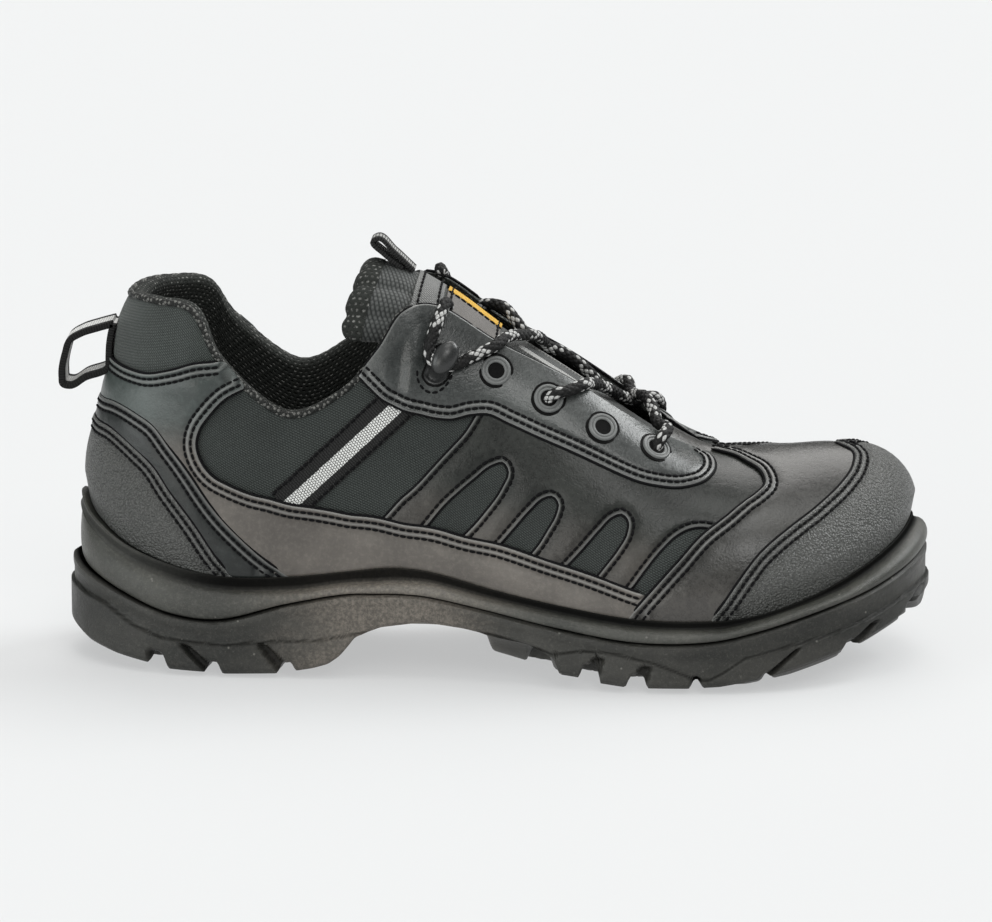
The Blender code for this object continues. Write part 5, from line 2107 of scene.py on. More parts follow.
@dataclass
class Tongue:
    """The padded tongue with its knit back, sewn band, label and pull loop."""

    rows: tuple[TongueRow, ...] = (
        TongueRow(236, 67.0, 11, 3.5, 2.5, 0), TongueRow(225, 69.8, 15, 6.5, 3, 0),
        TongueRow(203, 83.2, 19, 11, 4, 0), TongueRow(176, 101.2, 21, 14, 5, 0),
        TongueRow(152, 116.6, 21.5, 15.5, 6, 0), TongueRow(131, 131.8, 21.5, 18.5, 7, 0),
        TongueRow(119, 138.4, 22.5, 22, 8.5, 3), TongueRow(107.5, 141.6, 23, 24, 9.5, 7),
    )
    spread: float = 80.0
    along: int = 110
    across: int = 72
    channels: tuple[float, ...] = (-60.0, -34.0, 34.0, 60.0)
    band: tuple[float, float] = (130.5, 121.5)
    label: tuple[float, float] = (150.0, 131.5)
    loop: tuple[Place, ...] = (
        (121.4, 138.4), (114.4, 145.0), (108.4, 149.8), (106.9, 149.0), (111.0, 144.2), (117.6, 139.2),
    )
    loop_width: float = 9.0
    knit: float = 3.6
    turn_width: float = 20.0
    channel_width: float = 4.5
    channel_depth: float = 0.30
    strip: float = 0.9
    knit_wall: float = 0.8

    def _table(self) -> tuple[Array, Array]:
        """The rows as columns, with length along the crown."""
        table = np.array([astuple(row) for row in self.rows], float)
        return table, chord(table[:, :2])

    def _middle(self, at: Array, turn: Array) -> tuple[Array, Array]:
        """Points of the middle surface and the thickness there, from length along and angle across.

        Args:
            at: Lengths along the crown.
            turn: Angles across, in radians.

        Returns:
            Points and thicknesses.
        """
        table, knots = self._table()
        x, crown, half, drop, thick, wing = np.moveaxis(through(table, at, knots), -1, 0)
        z = crown - drop * (1 - np.cos(turn)) - thick / 2
        return np.stack([x - wing * np.sin(turn) ** 2, half * np.sin(turn), z], axis=-1), thick

    def _frame(self, at: Array, turn: Array) -> tuple[Array, Array, Array, Array]:
        """Middle points, thickness, and the directions along the tongue and out of its face.

        Args:
            at: Lengths along the crown.
            turn: Angles across, in radians.

        Returns:
            Points, thicknesses and both directions.
        """
        points, thick = self._middle(at, turn)
        ahead = unit(points - self._middle(at - 0.3, turn)[0])
        aside = self._middle(at, turn + 0.01)[0] - points
        normal = unit(np.cross(ahead, aside))
        return points, thick, ahead, normal * np.sign(normal[..., 2:3])

    def surface(self, at: Array, turn: Array, lift: float) -> Array:
        """Points over the outer face of the tongue, in millimetres."""
        points, thick, _, normal = self._frame(at, turn)
        return points + normal * (thick / 2 + lift)[..., None]

    def build(self) -> None:
        """Makes the tongue and what is sewn to it."""
        self._pad()
        self._strip("tongue_band", self.band, (-74, 74), 0.55, GREY_TAPE)
        self._strip("tongue_label", self.label, (-48, -5), 0.6, LABEL_CLOTH)
        self._strip("tongue_label_edge", self.label, (-6.5, 12), 0.95, AMBER_CLOTH)
        for side in Side:
            turns = tuple(sorted((side.value * 20.0, side.value * 12.5)))
            self._strip(f"tongue_edge_tape_{side.label}", (190.0, 157.0), turns, 0.5, PALE_TAPE)
        self._seams()
        self._loop()

    def _length_at(self, x: float) -> float:
        """Length along the crown at a place along the shoe.

        Args:
            x: Place in millimetres.

        Returns:
            Length in millimetres.
        """
        table, knots = self._table()
        fine = np.linspace(0, knots[-1], 400)
        return float(np.interp(-x, -through(table, fine, knots)[:, 0], fine))

    def _pad(self) -> None:
        """A stuffed form with a rolled free end and soft channels, and a knit back over its end."""
        end = self._table()[1][-1]
        roll = np.radians(np.linspace(90, -90, 15))[1:-1]
        out = np.linspace(0, end, self.along)
        at = np.concatenate([out, np.full(len(roll), end), np.linspace(end, 0, self.along)])
        tilt = np.concatenate([np.full(self.along, np.pi / 2), roll, np.full(self.along, -np.pi / 2)])
        w = np.linspace(-1, 1, self.across)
        at, turn = np.meshgrid(at, np.radians(self.spread) * w, indexing="ij")
        points, thick, ahead, normal = self._frame(at, turn)
        fill = np.sqrt(np.clip(1 - np.abs(w) ** 8, 0, 1))[None] * smoothstep(at, -4.0, 6.0)
        sunk = sum(bell(np.degrees(turn) - channel, self.channel_width) for channel in self.channels)
        sunk = sunk * smoothstep(at, end - 30, end - 3)
        for x in (self.band[0] + 1, self.band[1] - 1):
            sunk = sunk + 0.5 * bell(at - self._length_at(x), 1.3)
        radius = fill * (thick / 2) * (1 - self.channel_depth * sunk)
        across_roll = np.cos(tilt)[:, None, None] * ahead + np.sin(tilt)[:, None, None] * normal
        places = np.stack([at + 5 * np.cos(tilt)[:, None], turn * self.turn_width], axis=-1) * MM
        pad = Bench.sheet("tongue_pad", to_frame(points + radius[..., None] * across_roll), places)
        keep(Bench.smooth(Bench.weld(pad), 70), TONGUE_CLOTH, "tongue")
        back = slice(int(np.searchsorted(at[: self.along, 0], end - self.knit)), self.along + len(roll) + 60)
        knit = points + (radius + 0.35)[..., None] * across_roll
        obj = Bench.sheet("tongue_knit", to_frame(knit[back]), places[back])
        Bench.face_along(obj, across_roll[back].reshape(-1, 3))
        keep(Bench.smooth(Bench.thicken(obj, self.knit_wall * MM), 70), LINING)

    def _strip(self, name: str, ends: Place, turns: Place, lift: float, finish: Finish) -> None:
        """A flat piece sewn on the tongue.

        Args:
            name: Name of the new object.
            ends: Where it ends along the shoe, in millimetres.
            turns: Where it ends across, in degrees round the crown.
            lift: Height over the tongue's face.
            finish: What it is made of.
        """
        a, b = (self._length_at(x) for x in ends)
        at, turn = np.meshgrid(np.linspace(a, b, 12), np.radians(np.linspace(*turns, 44)), indexing="ij")
        places = np.stack([at, turn * self.turn_width], axis=-1) * MM
        obj = Bench.sheet(name, to_frame(self.surface(at, turn, lift)), places)
        Bench.thicken(Bench.face_along(obj, UP), self.strip * MM)
        Bench.modify(obj, "BEVEL", width=0.2 * MM, segments=2, limit_method="ANGLE")
        keep(Bench.smooth(obj, 50), finish)

    def _seams(self) -> None:
        """Rows of stitches along the band and round the label."""
        rows = []
        for x in (self.band[0] - 1.6, self.band[1] + 1.6):
            rows.append((np.full(60, self._length_at(x)), np.radians(np.linspace(-72, 72, 60))))
        for x in (self.label[0] - 1.2, self.label[1] + 1.2):
            rows.append((np.full(30, self._length_at(x)), np.radians(np.linspace(-47, 11, 30))))
        for turn in (-46, -9):
            ends = [self._length_at(x) for x in self.label]
            rows.append((np.linspace(*ends, 30), np.full(30, math.radians(turn))))
        for at, turn in rows:
            line = self.surface(at, turn, 0.75)
            SEWING.run(line, unit(self.surface(at, turn, 1.75) - line))

    def _loop(self) -> None:
        """The webbing loop at the free end."""
        line = smooth_line([(x, 0.0, z) for x, z in self.loop], 0.8)
        Ribbon("tongue_pull", line, self.loop_width, LOOP_TAPE, "tongue_pull_loop").build()


@dataclass
class Ribbon:
    """A length of tape along a line, flat across the shoe."""

    name: str
    line: Array
    width: float
    finish: Finish
    node: str
    thickness: float = 1.5

    def build(self) -> None:
        """Makes the tape with rounded selvedges."""
        offsets = np.linspace(-0.5, 0.5, 17) * self.width
        points = self.line[:, None] + offsets[None, :, None] * ACROSS
        places = np.stack(np.broadcast_arrays(chord(self.line)[:, None], offsets[None]), axis=-1)
        obj = Bench.sheet(self.name, to_frame(points), places * MM)
        Bench.modify(obj, "SOLIDIFY", thickness=self.thickness * MM, offset=0.0, use_rim=True)
        Bench.modify(obj, "BEVEL", width=0.35 * MM, segments=2, limit_method="ANGLE")
        keep(Bench.smooth(obj, 50), self.finish, self.node)


@dataclass
class HeelLoop:
    """The webbing loop at the back of the collar, a closed band that lies on the heel between its ends."""

    reach: tuple[Place, ...] = (
        (9.5, 117.2), (3.6, 115.2), (-0.6, 112.4), (-1.9, 108.6), (-3.3, 99.8), (-2.9, 97.0), (-0.6, 96.4),
        (5.0, 99.4),
    )
    ends: Place = (118.8, 103.4)
    width: float = 15.0
    thickness: float = 2.2

    def build(self) -> None:
        """Makes the loop."""
        v = np.linspace(0.2, 0.99, 60)
        heel = SKIN.at(np.zeros_like(v), v, 1.0)
        high = np.linspace(self.ends[1], self.ends[0], 5)
        lie = list(zip(np.interp(high, heel[:, 2], heel[:, 0]), high))
        line = smooth_line([(x, 0.0, z) for x, z in (lie[-1], *self.reach, *lie)], 0.7)
        Ribbon("heel_pull", line, self.width, HEEL_TAPE, "heel_pull_loop", self.thickness).build()


@dataclass
class BrightTape:
    """The reflective tape across the cloth behind the facings, on both sides."""

    top: Place = (119.6, 99.0)
    foot: Place = (77.8, 60.5)
    width: float = 13.5
    shift: float = -0.7
    lift: float = 0.55
    thickness: float = 0.8

    def build(self) -> None:
        """Makes one tape on each side."""
        ends = np.array([self.foot, self.top])
        along = unit(ends[1] - ends[0])
        aside = np.array([along[1], -along[0]])
        at = np.linspace(0, np.linalg.norm(ends[1] - ends[0]), 70)
        over = np.linspace(-0.5, 0.5, 19) * self.width
        rows = np.array([[SKIN.seek(tuple(ends[0] + along * a + aside * o)) for o in over] for a in at])
        for side in Side:
            s, v = side.value * rows[..., 0], np.clip(rows[..., 1], 0, 1)
            points = SKIN.at(s, v, self.lift)
            places = np.stack(np.broadcast_arrays(at[:, None], over[None] + self.shift), axis=-1)
            obj = Bench.sheet(f"bright_tape_{side.label}", to_frame(points), places * MM)
            Bench.face_along(obj, SKIN.normal(s, v).reshape(-1, 3))
            Bench.thicken(obj, self.thickness * MM)
            keep(Bench.smooth(obj, 50), BRIGHT_TAPE)
            for edge in (1, -2):
                line = SKIN.at(s[:, edge], v[:, edge], self.lift + 0.15)
                SEWING.run(line, SKIN.normal(s[:, edge], v[:, edge]))


LINE_ENDS, LINE_STEP, LINE_REACH = (-12.0, 318.0), 0.25, 16


@dataclass(frozen=True)
class Groove:
    """A cut across the tread, in millimetres and degrees.

    On the wall it climbs by its reach and leans along the shoe; rise is how far it lifts the lower edge.
    """

    x: float
    width: float
    slant: float
    depth: float = 5.0
    lean: float = 0.0
    rise: float = 0.0
    reach: float = 0.0


@dataclass
class Sole:
    """The moulded midsole and the lugged outsole under it, with the footbed inside."""

    tread_line: tuple[Place, ...] = (
        (0, 9), (11, 4.2), (27, 1.2), (38, 0), (82, 0), (88, 1.6), (94.5, 6.0), (99, 11), (103, 16),
        (112, 19.4), (127, 21.5), (141, 19.5), (148, 17.5), (150.5, 9.0), (165, 5.0), (185, 1.4), (195, 0),
        (240, 0), (255, 2.6), (269, 6.6), (280, 10.8), (294, 16.6), (306, 22.5),
    )
    edge_line: tuple[Place, ...] = (
        (0, 12), (8, 8.0), (18, 5.6), (29.5, 3.8), (37, 2.2), (50, 1.7), (57, 1.3), (75, 1.8), (82.4, 3.0),
        (88, 4.0), (93.4, 5.6), (97.5, 8.6), (100.5, 12.2), (103, 15.6), (112, 19.2), (127, 21.5),
        (141, 19.8), (152, 17.5), (163, 15.4), (170, 12.8), (173.4, 11.0), (174.6, 5.6), (182, 4.8),
        (189, 3.2), (198, 2.2), (206, 2.0), (220, 2.0), (231, 2.6), (246, 5.2), (258, 8.2), (270, 11.6),
        (278, 14.0), (290, 19.0), (304, 26.0),
    )
    lug_line: tuple[Place, ...] = (
        (0, 27), (14, 23), (24, 17), (34, 13.4), (56, 11.6), (72, 13.2), (90, 14.0), (104, 17),
        (150, 18.5), (165, 14.5), (173, 12.6), (182, 14.4), (192, 14.4), (207, 11.4), (217, 7.6),
        (222.5, 5.2), (227, 5.0), (232, 7.6), (240, 13.0), (254, 16.2), (270, 19.4), (285, 24.0),
        (300, 30.0),
    )
    edge_grooves: tuple[Groove, ...] = (
        Groove(33.2, 6.0, 8, 5, -0.35, 4.6, 9), Groove(53, 5.0, -6, 5, -1.1, 4.0, 12),
        Groove(78.8, 5.4, -5, 5, -0.9, 3.4, 13), Groove(168, 8.0, 3, 6),
        Groove(185.6, 6.2, 3, 6, 0.4, 5.4, 13), Groove(202, 6.4, 3, 5, 0.45, 4.2, 10.5),
        Groove(222.8, 3.6, 0, 4, 0.0, 2.6, 7), Groove(246.6, 2.6, -8, 4, 1.15, 1.8, 16),
        Groove(275.6, 4.2, -6, 4, 1.1, 2.6, 22), Groove(296.0, 3.4, 0, 0, 0.6, 2.6, 29),
    )
    middle_grooves: tuple[Groove, ...] = (
        Groove(43, 5, 14), Groove(66, 5, -14), Groove(175, 5.5, -14), Groove(194, 5.5, 14),
        Groove(213, 5.5, -14), Groove(236, 5.5, 14), Groove(259, 5.5, -14),
    )
    groove_run: float = 27.0
    groove_past: float = 7.0
    groove_in: float = 4.0
    notch_taper: float = 0.45
    middle_half: float = 17.0
    gap: float = 0.3
    columns: int = 1101
    wall_rows: int = 30
    tread_rows: int = 97
    wall_out: float = 5.9
    lip_in: float = 1.5
    belly_in: float = 0.35
    foot_in: float = 0.9
    inner_in: float = 9.0
    below_floor: float = 4.0
    edge_out: float = 5.4
    proud: float = 1.2
    recess: float = 2.6
    shoulder: float = 15.0
    bed_inset: float = 5.4
    bed_height: float = 3.6
    bed_cup: float = 1.6
    bed_thickness: float = 3.2

    def build(self) -> None:
        """Makes midsole, outsole and footbed."""
        self._midsole()
        self._outsole()
        self._footbed()

    @staticmethod
    def _smooth(line: Sequence[Place], x: Array, blur: float = 0.9) -> Array:
        """A line of places read with its corners rounded.

        Args:
            line: Places of the line.
            x: Where to read.
            blur: Width of the rounding.

        Returns:
            Heights in millimetres.
        """
        fine = np.arange(*LINE_ENDS, LINE_STEP)
        kernel = bell(np.arange(-LINE_REACH, LINE_REACH + 1) * LINE_STEP, blur)
        values = np.pad(np.interp(fine, *np.array(line, float).T), LINE_REACH, mode="edge")
        return np.interp(x, fine, np.convolve(values, kernel / kernel.sum(), mode="valid"))

    def _lines(self, s: Array, profile: Sequence[tuple[Array, Array]]) -> Array:
        """Lines round the sole at offsets from the rim and heights.

        Args:
            s: Section numbers.
            profile: Offsets and heights.

        Returns:
            One line of points for each pair.
        """
        rim, out = SKIN.rim(s), SKIN.outward(s)
        lines = []
        for offset, height in profile:
            offset, height = (np.broadcast_to(np.asarray(value, float), len(s)) for value in (offset, height))
            lines.append(np.column_stack([rim[:, :2] + offset[:, None] * out, height]))
        return np.array(lines)

    def _midsole(self) -> None:
        """The cup: a cove under the upper, a rounded bead and the parting line, with painted shade in the cove
        and along the parting line.
        """
        s = np.linspace(-TIP, TIP, self.columns)
        rim, floor, parting = SKIN.rim(s)[:, 2], SKIN.rim(s)[:, 3], SKIN.column("parting", s)
        bead = np.maximum(rim - 4.6 + 2.0 * smoothstep(np.abs(s), 7.0, 11.0), parting + 3.2)
        depth = bead - parting
        inner = np.minimum(parting, floor - self.below_floor) + self.gap / 2
        # Towards the back of the heel the lip stands further out and the cove's painted shade fades.
        high = smoothstep(-np.abs(s), -4.2, -1.5)
        tame = 1 - 0.5 * bell(s, 1.5)
        # Each row: offset from the rim, height and painted shade.
        profile = [
            (-self.inner_in, inner, 0.0), (-self.inner_in, floor, 0.0), (-2.2, floor, 0.0),
            (-1.2, rim - 1.2, 0.6),
            (-0.2 + 1.5 * high, rim - 0.1, 0.8 - 0.6 * high),
            (0.5 + 1.5 * high, rim + 0.1, 0.9 - 0.8 * high),
            (0.9 + 1.7 * high, rim - 0.4, 1.0 - 0.9 * high),
            (0.9 + 1.5 * high, rim * 0.7 + bead * 0.3, 1.0 - 0.5 * high),
            (1.1 + 1.3 * high, rim * 0.4 + bead * 0.6, 1.0 - 0.4 * high),
            (1.7 + 0.9 * high, rim * 0.15 + bead * 0.85, 0.8 - 0.5 * high),
            (2.6 + 0.4 * high, bead + 0.15, 0.25), (3.7, bead - 0.02 * depth, 0.0),
            (4.7, bead - 0.11 * depth, 0.0), (5.5, bead - 0.26 * depth, 0.0), (6.0, bead - 0.46 * depth, 0.0),
            (6.1, bead - 0.64 * depth, 0.0), (5.9, bead - 0.80 * depth, 0.0), (5.4, bead - 0.92 * depth, 0.1),
            (4.8, parting + 0.35, 0.9), (4.0, parting + 0.2, 1.0), (-1.0, inner, 1.0),
        ]
        tamed = [(np.where(np.asarray(offset) > 3, offset * tame, offset), z) for offset, z, _ in profile]
        lines = self._lines(s, tamed)
        shade = np.array([np.broadcast_to(dark, len(s)) for _, _, dark in profile])
        obj = Bench.sheet("midsole_cup", to_frame(np.concatenate([lines, lines[:1]])))
        # The seam mark carries the painted shade.
        Bench.mark(obj, "seam", np.concatenate([shade, shade[:1]]).ravel())
        keep(Bench.smooth(Bench.weld(obj), 42), SOLE, "midsole")

    def _under(self, x: Array, y: Array) -> Array:
        """Height of the grooves under the sole.

        Args:
            x: Places along the shoe.
            y: Places across it.

        Returns:
            Heights in millimetres.
        """
        height = np.zeros(np.shape(x))
        rim_x = SKIN.data["rim_x"]
        for groove in self.edge_grooves:
            row = np.interp(groove.x, rim_x, np.arange(len(rim_x)))
            for side in Side:
                edge = SKIN.rim(side.value * row)[1] + side.value * self.groove_past
                middle = edge - side.value * (self.groove_run / 2 - self.groove_in)
                height = np.maximum(height, self._cut(groove, x, y, middle, self.groove_run, -side.value))
        for groove in self.middle_grooves:
            height = np.maximum(height, self._cut(groove, x, y, 0.0, 2 * self.middle_half, 1))
        return height

    @staticmethod
    def _cut(groove: Groove, x: Array, y: Array, middle: float, length: float, lean: int) -> Array:
        """Height of one groove, with sloped walls.

        Args:
            groove: The groove.
            x: Places along the shoe.
            y: Places across it.
            middle: Its middle across.
            length: Its length.
            lean: Sign of its slant.

        Returns:
            Heights in millimetres.
        """
        turn = math.radians(groove.slant * lean)
        dx, dy = x - groove.x, y - middle
        across = np.abs(dx * math.cos(turn) + dy * math.sin(turn))
        along = np.abs(dy * math.cos(turn) - dx * math.sin(turn))
        wide = 1 - smoothstep(across, groove.width / 2 - 1.7, groove.width / 2 + 1.3)
        return groove.depth * wide * (1 - smoothstep(along, length / 2 - 2.4, length / 2 + 1.2))

    def _notches(self, x: Array, z: Array) -> Array:
        """How far the wall is cut back by the grooves' ends, from 0 to 1.

        Args:
            x: Places along the shoe.
            z: Heights.

        Returns:
            Depth of the cut.
        """
        cut = np.zeros(np.broadcast(x, z).shape)
        for groove in self.edge_grooves:
            if groove.reach > 0:
                foot = float(self._smooth(self.edge_line, np.array(groove.x)))
                off = np.abs(x - groove.x - groove.lean * (z - foot))
                climb = np.clip((z - foot) / (groove.reach - foot), 0, 1)
                taper = 0.5 * groove.width * (1 - self.notch_taper * climb)
                mask = 1 - smoothstep(off - taper, -0.9, 0.8)
                cut = np.maximum(cut, mask * (1 - smoothstep(z, groove.reach - 1.6, groove.reach)))
        return cut

    def _outsole(self) -> None:
        """Wall with raised lugs and leaning notches, and the tread as a field of heights."""
        s = np.linspace(-TIP, TIP, self.columns)
        floor, parting = SKIN.rim(s)[:, 3], SKIN.column("parting", s)
        edge = self._lines(s, [(self.edge_out, 0.0)])[0]
        x = edge[:, 0]
        foot = self._smooth(self.edge_line, x)
        for groove in self.edge_grooves:
            off = np.abs(x - groove.x) - groove.width / 2
            foot = foot + groove.rise * (1 - smoothstep(off, -1.5, 0.9))
        top = parting - 0.2
        foot = np.minimum(foot, top - 3.0)
        lug = np.minimum(self._smooth(self.lug_line, x), top - 2.2)
        inner = np.minimum(parting, floor - self.below_floor) - self.gap / 2
        # Painted shade goes with each row of the profile, dark on the inside.
        profile, shade = [(-self.inner_in, inner), (-1.0, inner), (4.0, top)], [0.0, 0.5, 1.0]
        for share in np.linspace(1, 0, self.wall_rows) ** 1.15:
            z = foot + share * (top - foot)
            offset = self.wall_out - self.lip_in * smoothstep(z, top - 1.1, top)
            offset = offset - self.belly_in * smoothstep(top - z, 2.5, 5.0)
            step = smoothstep(lug - z, -0.35, 0.65)
            cut = self._notches(x, z)
            offset = offset + self.proud * step - self.recess * cut
            offset = offset - self.foot_in * (1 - smoothstep(z - foot, 0.0, 1.3))
            # Painted shade along the lugs' ledge, in the notches and just under the parting line.
            line = bell(lug - z - 0.05, 0.45) * smoothstep(top - z, 1.0, 2.0)
            profile.append((offset, z))
            shade.append(np.clip(0.75 * line + 0.55 * cut + 0.9 * smoothstep(z, top - 0.4, top), 0, 1))
        lines = self._lines(s, profile)
        dark = np.array([np.broadcast_to(value, len(s)) for value in shade])
        half = self.columns // 2
        even = np.linspace(0, 1, self.tread_rows)[:, None]
        shares = 0.7 * even + 0.15 * (1 - np.cos(np.pi * even))
        outer, other = lines[-1][half::-1], lines[-1][half:]
        under = outer[None] * (1 - shares[..., None]) + other[None] * shares[..., None]
        width = np.linalg.norm(other - outer, axis=1)[None]
        inward = smoothstep(np.minimum(shares, 1 - shares) * width, 0.3, self.shoulder)
        field_z = self._smooth(self.tread_line, under[..., 0]) + self._under(under[..., 0], under[..., 1])
        under[..., 2] = under[..., 2] * (1 - inward) + np.minimum(field_z, top.min()) * inward
        few = np.linspace(0, 1, 5)[:, None, None]
        lid = lines[0][half::-1][None] * (1 - few) + lines[0][half:][None] * few
        pieces = []
        for points, marks in ((lines, dark), (under, 0 * under[..., 0]), (lid, 0 * lid[..., 0])):
            pieces.append(Bench.sheet("outsole_sheet", to_frame(points)))
            Bench.mark(pieces[-1], "seam", np.ravel(marks))
        keep(Bench.smooth(Bench.weld(Bench.join("outsole_tread", pieces)), 38), TREAD, "outsole")

    def _footbed(self) -> None:
        """The loose insole: a cupped sheet with a rounded edge."""
        rows = np.linspace(0.0, TIP, 200)
        edges = []
        for side in Side:
            rim, out = SKIN.rim(side.value * rows), SKIN.outward(side.value * rows)
            edges.append(np.column_stack([rim[:, :2] - self.bed_inset * out, rim[:, 3]])[None])
        shares = np.linspace(0, 1, 48)[:, None, None]
        sheet = edges[0] * (1 - shares) + edges[1] * shares
        sheet[..., 2] += self.bed_height + self.bed_cup * np.abs(2 * shares[..., 0] - 1) ** 4
        obj = Bench.merge(Bench.sheet("footbed", to_frame(sheet), sheet[..., :2] * MM))
        Bench.thicken(Bench.face_along(obj, UP), self.bed_thickness * MM)
        keep(Bench.smooth(obj, 50), LINING, "insole")


def lathe(name: str, profile: Sequence[Place], steps: int = 40) -> Piece:
    """A turned piece round Z from radii and heights in millimetres.

    Args:
        name: Name of the new object.
        profile: Radii and heights.
        steps: Faces round the piece.

    Returns:
        The closed piece.
    """
    radius, height = np.array(profile, float).T
    turns = np.linspace(0, 2 * np.pi, steps + 1)
    x, y = radius[:, None] * np.cos(turns), radius[:, None] * np.sin(turns)
    points = np.stack(np.broadcast_arrays(x, y, height[:, None]), axis=-1)
    return Bench.smooth(Bench.weld(Bench.sheet(name, points * MM), 1e-6), 40)


def seated(obj: Piece, place: Place, side: Side, lift: float) -> Piece:
    """Moves a piece made round the origin to a side-view place on the skin, its Z outwards.

    Args:
        obj: The piece.
        place: Side-view place in millimetres.
        side: Side of the shoe.
        lift: Height over the skin in millimetres.

    Returns:
        The piece.
    """
    row, share = SKIN.seek(place)
    s, v = np.array([side.value * row]), np.array([share])
    point, normal = SKIN.at(s, v, lift)[0], SKIN.normal(s, v)[0]
    up = unit(UP - normal * normal[2])
    axes = np.stack([np.cross(up, normal), up, normal], axis=1)
    Bench.place(obj, Bench.coords(obj) @ axes.T + to_frame(point))
    return obj


def laid(obj: Piece, place: Place, side: Side, lift: float) -> Piece:
    """Lays a flat piece made round the origin on the skin, so that it follows the leather.

    Args:
        obj: The piece.
        place: Side-view place in millimetres.
        side: Side of the shoe.
        lift: Height over the skin in millimetres.

    Returns:
        The piece.
    """
    points = Bench.coords(obj) / MM
    rows = np.array([SKIN.seek((place[0] + x, place[1] + y)) for x, y in points[:, :2]])
    s, v = side.value * rows[:, 0], np.clip(rows[:, 1], 0, 1)
    Bench.place(obj, to_frame(SKIN.at(s, v, lift + points[:, 2])))
    return Bench.edit(obj, lambda: bpy.ops.mesh.normals_make_consistent(inside=False))


EYELETS: tuple[Place, ...] = ((151.0, 107.0), (169.5, 97.2), (188.5, 87.0), (206.5, 79.0))
STUD: Place = (132.9, 111.6)


@dataclass
class Fittings:
    """Eyelets with their dark washers, which also stand for the shadow round each ring, with black discs of
    painted shade in their holes, and the lacing studs over them.
    """

    lift: float = 1.9
    ring: tuple[Place, ...] = (
        (2.9, -2.5), (2.9, 0.55), (3.0, 0.8), (3.3, 0.92), (3.75, 0.9), (3.95, 0.72), (4.1, 0.72),
        (4.25, 1.0), (4.6, 1.1), (4.95, 1.02), (5.2, 0.75), (5.25, 0.2), (4.4, -0.2), (3.3, -0.3),
        (3.3, -2.5), (2.9, -2.5),
    )
    # The dark washer also stands for the shadow round the ring.
    washer: tuple[Place, ...] = (
        (3.4, -0.4), (3.4, 0.2), (5.6, 0.35), (6.1, 0.28), (6.35, 0.0), (6.2, -0.4), (3.4, -0.4),
    )
    # A black disc in the eyelet's opening: painted shade for its depth.
    hole: tuple[Place, ...] = ((0.0, 0.42), (1.4, 0.45), (3.0, 0.5), (3.0, -0.6), (1.4, -0.6), (0.0, -0.6))
    plate: tuple[Place, ...] = (
        (0.0, 0.35), (2.4, 0.35), (3.5, 0.4), (3.9, 0.75), (4.3, 0.8), (4.6, 0.5), (4.7, 0.0), (4.6, -0.5),
        (0.0, -0.5),
    )
    # A dark disc a little wider than the plate: painted shadow round its rim.
    recess: tuple[Place, ...] = ((0.0, 0.1), (4.9, 0.14), (5.3, 0.1), (5.35, -0.2), (0.0, -0.3))
    draw: Place = (-2.6, -4.0)
    head: tuple[Place, ...] = (
        (0.0, 8.1), (1.5, 8.0), (2.8, 7.6), (3.8, 7.0), (4.4, 6.3), (4.55, 5.6), (4.2, 5.0), (3.0, 4.7),
        (2.0, 4.4), (1.8, 3.4), (1.85, 0.9), (2.0, 0.2), (0.0, 0.2),
    )
    head_stretch: float = 1.28
    head_tilt: float = 0.30
    guard: tuple[Place, ...] = (
        (123.8, 108.5), (124.0, 105.2), (125.4, 102.4), (128.0, 100.7), (131.2, 100.7), (133.9, 102.8),
        (136.2, 106.6),
    )

    def build(self) -> None:
        """Makes the fittings of both sides."""
        for side in Side:
            label = side.label
            for number, place in enumerate(EYELETS, start=1):
                ring = seated(lathe(f"eyelet_ring_{label}_{number}", self.ring), place, side, self.lift)
                keep(ring, FITTING, f"eyelet_{label}_{number}")
                parts = [lathe("washer", self.washer), lathe("hole", self.hole, 24)]
                washer = Bench.join(f"eyelet_washer_{label}_{number}", parts)
                keep(seated(washer, place, side, self.lift), BACKING_AND_SHADE)
            self._stud(side)
            rows = np.array([SKIN.seek(place) for place in self.guard])
            fine = through(rows, np.linspace(0, len(rows) - 1, 80))
            s, v = side.value * fine[:, 0], fine[:, 1]
            SEWING.run(SKIN.at(s, v, self.lift + 0.2), SKIN.normal(s, v))

    def _stud(self, side: Side) -> None:
        """A stud with a leaning oval head, over a rimmed plate drawn out below it, on a slightly wider dark
        disc whose rim is painted shadow round the plate.

        Args:
            side: Side of the shoe.
        """
        label = side.label
        flat = []
        for name, profile in (("recess", self.recess), ("plate", self.plate)):
            obj = lathe(name, profile, 48)
            points = Bench.coords(obj)
            below = smoothstep(-points[:, 1] / MM, -1.5, 1.5)
            points[:, :2] += below[:, None] * np.array(self.draw) * MM
            Bench.place(obj, points)
            flat.append(laid(obj, STUD, side, self.lift + 0.4))
        head = lathe("head", self.head, 48)
        points = Bench.coords(head)
        dome = smoothstep(points[:, 2] / MM, 3.2, 4.6)
        points[:, 1] *= 1 + (self.head_stretch - 1) * dome
        points[:, 0] -= side.value * self.head_tilt * dome * points[:, 1]
        Bench.place(head, points)
        keep(Bench.join(f"stud_recess_{label}", flat[:1]), BACKING_AND_SHADE)
        obj = Bench.join(f"stud_{label}", [flat[1], seated(head, STUD, side, self.lift)])
        keep(obj, STUD_FINISH, f"lacing_stud_{label}")



@dataclass(frozen=True)
class Over:
    """A place of the lace on a facing: side-view place, height over the skin and side."""

    place: Place
    lift: float
    side: Side

    def point(self) -> Array:
        """The place in millimetres."""
        row, share = SKIN.seek(self.place)
        return SKIN.at(np.array([self.side.value * row]), np.array([share]), self.lift)[0]


Route = tuple[Union[Over, Point], ...]
OUT, IN = Side.LATERAL, Side.MEDIAL


